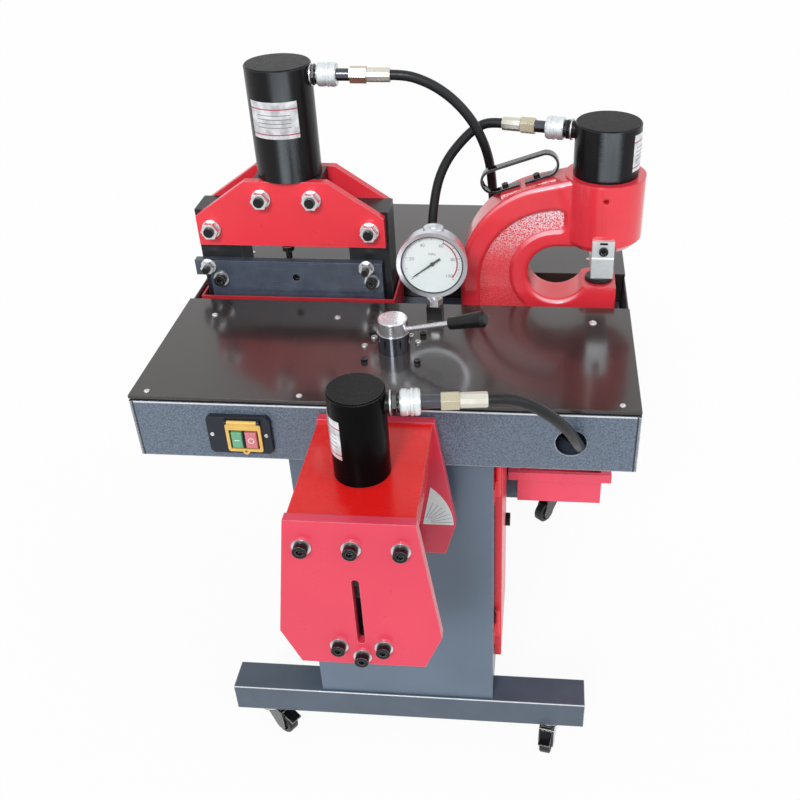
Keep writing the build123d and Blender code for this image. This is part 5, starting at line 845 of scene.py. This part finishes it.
def spun_bars(centre, inner, outer, width, depth, start, sweep, count):
    """Radial bars that face the front: one is drawn, and the rest are spun from it counter-clockwise."""
    bpy.ops.object.select_all(action="DESELECT")
    middle = (inner + outer) / 2
    place = centre + Vector((middle * cos(radians(start)), 0, middle * sin(radians(start))))
    bpy.ops.mesh.primitive_cube_add(size=1, location=place * MM, rotation=(0, -radians(start), 0))
    bars = bpy.context.object
    bars.scale = ((outer - inner) * MM, depth * MM, width * MM)
    bpy.ops.object.transform_apply(location=True, rotation=True, scale=True)
    bpy.ops.object.mode_set(mode="EDIT")
    bpy.ops.mesh.select_all(action="SELECT")
    bpy.ops.mesh.spin(steps=count, dupli=True, angle=radians(sweep), center=centre * MM, axis=(0, 1, 0))
    bpy.ops.object.mode_set(mode="OBJECT")
    return bars


# Cover screws, by place and size
TABLE_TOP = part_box("front_cover")[1][2] / MM
COVER_SCREWS = [
    (-336, -231, 1.0), (-116, -231, 1.0), (334, -230, 1.0), (-302, -10, 1.15), (-103, -8.5, 1.15),
    (300, -6, 1.4), (-300, 218, 1.0), (300, 218, 1.0), (-300, 430, 1.0), (300, 430, 1.0),
]
COVER_SCREW_R = 4.4
COVER_SCREW_HEIGHT = 2.4
screw = cross_screw(COVER_SCREW_R, COVER_SCREW_HEIGHT)
for number, (x, y, size) in enumerate(COVER_SCREWS):
    twin = copy_to(screw, Matrix.Translation(at(x, y, TABLE_TOP)) @ Matrix.Scale(size, 4))
    keep(twin, f"cover_screw_{number}", "machine", "zinc", zinc_plate)

# Switch screws: the same head, smaller and turned to the front
SWITCH_SCREWS = ((-244, -251, 743.5), (-165.5, -251, 743.5))
SWITCH_SCREW_SIZE = 0.72
face_turn = Matrix.Rotation(pi / 2, 4, "X") @ Matrix.Scale(SWITCH_SCREW_SIZE, 4)
for number, place in enumerate(SWITCH_SCREWS):
    twin = copy_to(screw, Matrix.Translation(at(*place)) @ face_turn)
    keep(twin, f"switch_screw_{number}", "machine", "zinc", zinc_plate)
bpy.data.objects.remove(screw)

# Plated socket screws round the valve, their socket floors black as painted shade
VALVE_SCREWS = [(-45.5, -93), (-35, -68), (21, -60), (34, -78)]
SOCKET_FLOOR = 1.4
socket = turned(
    [(4.6, 0), (4.6, 2.6), (4.2, 3.2), (2.7, 3.2), (2.5, 2.9), (2.5, SOCKET_FLOOR)],
    sides=28, place=(0, 0, 0), axis=(0, 0, 1),
)
for number, (x, y) in enumerate(VALVE_SCREWS):
    twin = copy_to(socket, Matrix.Translation(at(x, y, TABLE_TOP)))
    keep(twin, f"valve_screw_{number}", "machine", "zinc", zinc_plate, screw_black)
    for face in twin.data.polygons:
        sunk = face.center.z / MM < TABLE_TOP + SOCKET_FLOOR + 0.1
        face.material_index = int(face.normal.z > FACING and sunk)
bpy.data.objects.remove(socket)

# Couplers: washer, hexagon and collar on the nipple, collared sleeve, flat-sided ferrule
WASHER_INNER = 13.2
WASHER_OUTER = 16.2
HEXAGON_LENGTH = 13.0
LEAST_PORT = 4.0
for coupler_name, (origin, axis, lengths) in COUPLERS.items():
    boss, ring, tube, nut, ferrule = lengths
    port = max(boss - HEXAGON_LENGTH, LEAST_PORT)
    washer = turned(
        [(WASHER_INNER, port), (WASHER_OUTER, port), (WASHER_OUTER, port + 1.8), (WASHER_INNER, port + 2.2)],
        sides=36, place=origin * MM, axis=axis,
    )
    keep(washer, f"{coupler_name}_washer", "machine", "zinc", zinc_plate)
    hexagon = turned(
        [
            (14.6, port + 2.4), (15.8, port + 3.2), (15.8, boss - 4.4), (14.4, boss - 3.6),
            (13.4, boss - 3.4), (13.4, boss - 2.2), (14.6, boss - 1.8), (14.6, boss - 0.4),
            (13.4, boss + 0.2),
        ],
        sides=6, place=origin * MM, axis=axis,
    )
    keep(hexagon, f"{coupler_name}_nipple", "machine", "black_oxide", screw_black)
    half = ring / 2
    sleeve = turned(
        [
            (14.6, 0.2), (16.4, 0.8), (17.2, 1.8), (17.2, half - 4.2), (16.2, half - 3.0),
            (16.2, half - 0.6), (17.6, half + 0.6), (17.6, half + 3.6), (16.3, half + 4.2),
            (16.3, half + 5.2), (17.4, half + 5.8), (17.4, ring - 3.0), (16.6, ring - 1.4),
            (14.0, ring + 0.2), (10.4, ring + 0.6),
        ],
        sides=44, place=(origin + axis * boss) * MM, axis=axis,
    )
    keep(sleeve, f"{coupler_name}_sleeve", "machine", "zinc", sleeve_plate)
    crimp = turned(
        [(9.6, 0.4), (10.4, 1.2), (10.4, ferrule - 1.6), (9.6, ferrule + 0.3), (8.0, ferrule + 0.3)],
        sides=10, place=(origin + axis * (boss + ring + tube + nut)) * MM, axis=axis,
    )
    keep(crimp, f"{coupler_name}_ferrule", "machine", "zinc", ferrule_plate)

# Gauge: print on the dial, a black ring at the lens face as painted shadow between bezel and dial, filler
# plug
DIAL = Vector((52.0, -10.1, 900.0))
ZERO_TURN = 220.0
SWEEP = 260.0
MARK_DEPTH = 0.12
for name, count, inner, outer, width in (
    ("dial_fine_marks", 50, 41.0, 43.4, 0.4), ("dial_main_marks", 10, 39.2, 43.4, 0.8)
):
    marks = spun_bars(DIAL, inner, outer, width, MARK_DEPTH, ZERO_TURN, -SWEEP, count)
    keep(settle(marks), name, "machine", "dial_white", print_grey)


def dial_text(name, words, size, angle, radius):
    """Figures on the dial as a thin mesh that faces the front."""
    bpy.ops.object.select_all(action="DESELECT")
    place = DIAL + Vector((radius * cos(radians(angle)), 0, radius * sin(radians(angle))))
    bpy.ops.object.text_add(location=place * MM, rotation=(pi / 2, 0, 0))
    figures = bpy.context.object
    figures.data.body = words
    figures.data.size = size * MM
    figures.data.align_x = "CENTER"
    figures.data.align_y = "CENTER"
    figures.data.extrude = MARK_DEPTH / 2 * MM
    bpy.ops.object.convert(target="MESH")
    keep(settle(bpy.context.object), name, "machine", "dial_white", print_grey)


FIGURE_STEP = 20
FIGURE_STEPS = 5
for number in range(FIGURE_STEPS + 1):
    figure = FIGURE_STEP * number
    turn = ZERO_TURN - SWEEP * number / FIGURE_STEPS
    dial_text(f"dial_figure_{figure}", str(figure), size=7.6, angle=turn, radius=32.5)
dial_text("dial_unit", "MPa", size=6.4, angle=90, radius=15)
red_band = spun_strip(DIAL, inner=36.8, outer=38.9, start=64, sweep=-102, steps=48)
keep(settle(thicken(red_band, MARK_DEPTH)), "dial_red_band", "machine", "dial_white", print_red)
LENS_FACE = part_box("gauge_lens")[0][1] / MM - 0.1
lens_middle = Vector((DIAL.x, LENS_FACE, DIAL.z))
# Painted shadow: a black ring round the dial's edge, at the lens face
shadow_ring = spun_strip(lens_middle, inner=45.8, outer=47.7, start=0, sweep=360, steps=96)
keep(settle(thicken(shadow_ring, MARK_DEPTH)), "dial_shadow_ring", "machine", "dial_white", print_and_shadow_black)
PLUG_SEAT = (54, 3, 946)
plug = turned(
    [
        (7.6, -6), (7.6, 0), (15.5, 0.6), (15.5, 6.4), (14.6, 7.6), (9.0, 8.2), (8.2, 7.4), (6.0, 7.4),
        (5.4, 9.0), (2.0, 9.4),
    ],
    sides=40, place=at(*PLUG_SEAT), axis=(0, 0, 1),
)
keep(plug, "gauge_plug", "machine", "chrome", satin_steel)

# Switch marks: a bar on the start key and a ring on the stop key
KEY_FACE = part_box("start_button")[0][1] / MM - 0.05
KEY_HEIGHT = 737.1
START_KEY_X = -207.8
STOP_KEY_X = -187.1
KEY_MARK_DEPTH = 0.3
start_mark = bar(
    START_KEY_X, KEY_FACE, KEY_HEIGHT, width=7.4, depth=KEY_MARK_DEPTH, height=1.5, edge=0.05
)
keep(start_mark, "start_mark", "start_button", "dial_white", print_white)
stop_middle = Vector((STOP_KEY_X, KEY_FACE, KEY_HEIGHT))
stop_ring = spun_strip(stop_middle, inner=3.4, outer=4.7, start=0, sweep=360, steps=32)
keep(settle(thicken(stop_ring, KEY_MARK_DEPTH)), "stop_mark", "stop_button", "dial_white", print_white)

# Stripper: clamp screw with its socket, and a black bar above it for the slot, as painted shade
STRIPPER_X = 311.5
STRIPPER_FACE = 34.0
CLAMP_HEIGHT = 904.0
SLOT_HEIGHT = 916.5
clamp = turned(
    [(7.2, 0), (7.2, 3.6), (6.4, 4.4), (4.2, 4.4), (3.9, 3.9), (3.9, 1.8)],
    sides=30, place=at(STRIPPER_X, STRIPPER_FACE, CLAMP_HEIGHT), axis=(0, -1, 0),
)
keep(clamp, "stripper_screw", "machine", "black_oxide", screw_black)
slot_shade = bar(STRIPPER_X, STRIPPER_FACE, SLOT_HEIGHT, width=12, depth=1.0, height=3.6, edge=0.3)
keep(slot_shade, "stripper_slot", "machine", "black_oxide", screw_black)

# Nameplates: bare foil on the three cylinders, with red and grey rules
RED_RULES = ((0.1, 0.13), (0.79, 0.82))
GREY_RULES = ((0.3, 0.325), (0.41, 0.435), (0.52, 0.545), (0.63, 0.655))
GREY_SHARE = 0.7
FOIL = 0.4
FOIL_OFF = 0.35


def nameplate(name, x, y, radius, low, high, left, right):
    """A strip of a tube's wall between two angles and two heights, thickened and ruled."""
    bpy.ops.object.select_all(action="DESELECT")
    bpy.ops.mesh.primitive_cylinder_add(
        vertices=160, radius=(radius + FOIL_OFF) * MM, depth=(high - low) * MM, end_fill_type="NOTHING",
        location=at(x, y, (low + high) / 2),
    )
    plate = bpy.context.object
    bpy.ops.object.transform_apply(location=True, rotation=True, scale=True)
    middle = radians((left + right) / 2)
    half = radians(right - left) / 2
    facing = Vector((cos(middle), sin(middle), 0))
    faces_where(plate, lambda face: face.normal.dot(facing) < cos(half))
    bpy.ops.mesh.delete(type="FACE")
    for share in sorted(sum(RED_RULES + GREY_RULES, ())):
        bpy.ops.mesh.select_all(action="SELECT")
        bpy.ops.mesh.bisect(plane_co=at(x, y, low + (high - low) * share), plane_no=(0, 0, 1))
    bpy.ops.object.mode_set(mode="OBJECT")
    settle(thicken(plate, FOIL))
    keep(plate, name, "machine", "bright_steel", plate_foil, print_red, print_grey)
    for face in plate.data.polygons:
        share = (face.center.z / MM - low) / (high - low)
        outward = (face.center / MM - Vector((x, y, face.center.z / MM))).normalized()
        in_red = any(start < share < end for start, end in RED_RULES)
        in_grey = any(start < share < end for start, end in GREY_RULES)
        central = outward.dot(facing) > cos(half * GREY_SHARE)
        face.material_index = 1 if in_red else 2 if in_grey and central else 0


nameplate("cutter_nameplate", x=-182, y=104, radius=50, low=1067, high=1122, left=-136.5, right=-50)
nameplate("punch_nameplate", x=311, y=104, radius=50, low=1017, high=1073, left=-42, right=0)
nameplate("bender_nameplate", x=-5, y=-365, radius=37, low=820, high=878, left=-176, right=-118)

# Angle scale on the bender's rear plate: the end of a sector, cut along a slant, with fanned lines
SCALE_CENTRE = Vector((6.6, -260.3, 597))
SCALE_R = 93.3
SCALE_CORNER = Vector((54.3, -260.3, 597))
SCALE_CREST = Vector((67.7, -260.3, 667.5))
SCALE_THICKNESS = 0.5
sector = spun_strip(SCALE_CENTRE, inner=0.5, outer=SCALE_R, start=0, sweep=56, steps=48)
only(sector)
bpy.ops.object.mode_set(mode="EDIT")
bpy.ops.mesh.select_all(action="SELECT")
slant = (SCALE_CREST - SCALE_CORNER).normalized()
bpy.ops.mesh.bisect(plane_co=SCALE_CORNER * MM, plane_no=(slant.z, 0, -slant.x), clear_inner=True)
bpy.ops.object.mode_set(mode="OBJECT")
keep(settle(thicken(sector, SCALE_THICKNESS)), "angle_scale", "machine", "dial_white", scale_card)
fan_centre = SCALE_CORNER + Vector((1, -0.35, 2))
fan = spun_bars(fan_centre, inner=12, outer=43, width=0.6, depth=0.2, start=5, sweep=64, count=6)
keep(settle(fan), "angle_scale_lines", "machine", "dial_white", print_grey)

# White floor that keeps a faint shadow, and soft light

bpy.ops.object.select_all(action="DESELECT")
bpy.ops.mesh.primitive_plane_add(size=40, location=(0, 6, 0))
floor = bpy.context.object
floor.name = "studio_floor"
floor_paint, floor_nodes, floor_links, floor_shader, floor_places = shader_of("floor_paint")
floor_shader.inputs["Roughness"].default_value = 0.9
floor_shader.inputs["Specular IOR Level"].default_value = 0.1
floor_cloud = noise_of(floor_nodes, floor_links, floor_places, 1.5)
floor_links.new(
    mix_of(floor_nodes, floor_links, floor_cloud, (0.93, 0.93, 0.93), (0.95, 0.95, 0.95)),
    floor_shader.inputs["Base Color"],
)
floor.data.materials.append(floor_paint)

world = bpy.data.worlds.new("studio")
bpy.context.scene.world = world
world.use_nodes = True
sky_nodes, sky_links = world.node_tree.nodes, world.node_tree.links
sky = sky_nodes["Background"]
sky.inputs["Color"].default_value = (1, 1, 1, 1)


def seen_directly(nodes, links):
    """1 for rays from the camera, from gloss and through glass, else 0."""
    rays = nodes.new("ShaderNodeLightPath")
    seen = rays.outputs["Is Camera Ray"]
    for kind in ("Is Glossy Ray", "Is Transmission Ray"):
        larger = nodes.new("ShaderNodeMath")
        larger.operation = "MAXIMUM"
        links.new(seen, larger.inputs[0])
        links.new(rays.outputs[kind], larger.inputs[1])
        seen = larger.outputs["Value"]
    return seen


SKY_LIGHT = 0.46
FLOOR_WHITE = 0.94
sky_strength = range_of(sky_nodes, sky_links, seen_directly(sky_nodes, sky_links), SKY_LIGHT, 1.0, 0, 1)
sky_links.new(sky_strength, sky.inputs["Strength"])
white = floor_nodes.new("ShaderNodeEmission")
whiten = floor_nodes.new("ShaderNodeMixShader")
floor_seen = seen_directly(floor_nodes, floor_links)
floor_links.new(range_of(floor_nodes, floor_links, floor_seen, 0, FLOOR_WHITE, 0, 1), whiten.inputs["Fac"])
floor_links.new(floor_shader.outputs["BSDF"], whiten.inputs[1])
floor_links.new(white.outputs["Emission"], whiten.inputs[2])
floor_links.new(whiten.outputs["Shader"], floor_nodes["Material Output"].inputs["Surface"])


def studio_lamp(name, towards, power, angle):
    """A soft far lamp that shines along a direction."""
    lamp = bpy.data.lights.new(name, "SUN")
    lamp.energy = power
    lamp.angle = radians(angle)
    holder = bpy.data.objects.new(name, lamp)
    bpy.context.scene.collection.objects.link(holder)
    holder.rotation_mode = "QUATERNION"
    holder.rotation_quaternion = Vector(towards).to_track_quat("-Z", "Y")


studio_lamp("key_lamp", towards=(0.14, 0.8, -0.6), power=1.7, angle=16)
studio_lamp("fill_lamp", towards=(-0.7, 0.45, -0.6), power=0.5, angle=50)

# A pale card on the floor before the machine, for the sheen of the two tall cylinders
card_lamp = bpy.data.lights.new("front_card", "AREA")
card_lamp.shape = "RECTANGLE"
card_lamp.size = 3.6
card_lamp.size_y = 2.0
card_lamp.energy = 330.0
card_lamp.color = (0.80, 0.91, 1.0)
card = bpy.data.objects.new("front_card", card_lamp)
bpy.context.scene.collection.objects.link(card)
card.location = (0.8, -2.9, 0.03)
card.rotation_euler = (pi, 0, 0)
card.visible_camera = False
card.visible_diffuse = False
sheen_nodes = bpy.data.collections.new("sheen_nodes")
for node in ("cutter_cylinder", "punch_cylinder"):
    sheen_nodes.objects.link(NODES[node])
card.light_linking.receiver_collection = sheen_nodes

bpy.context.scene.view_settings.view_transform = "Standard"
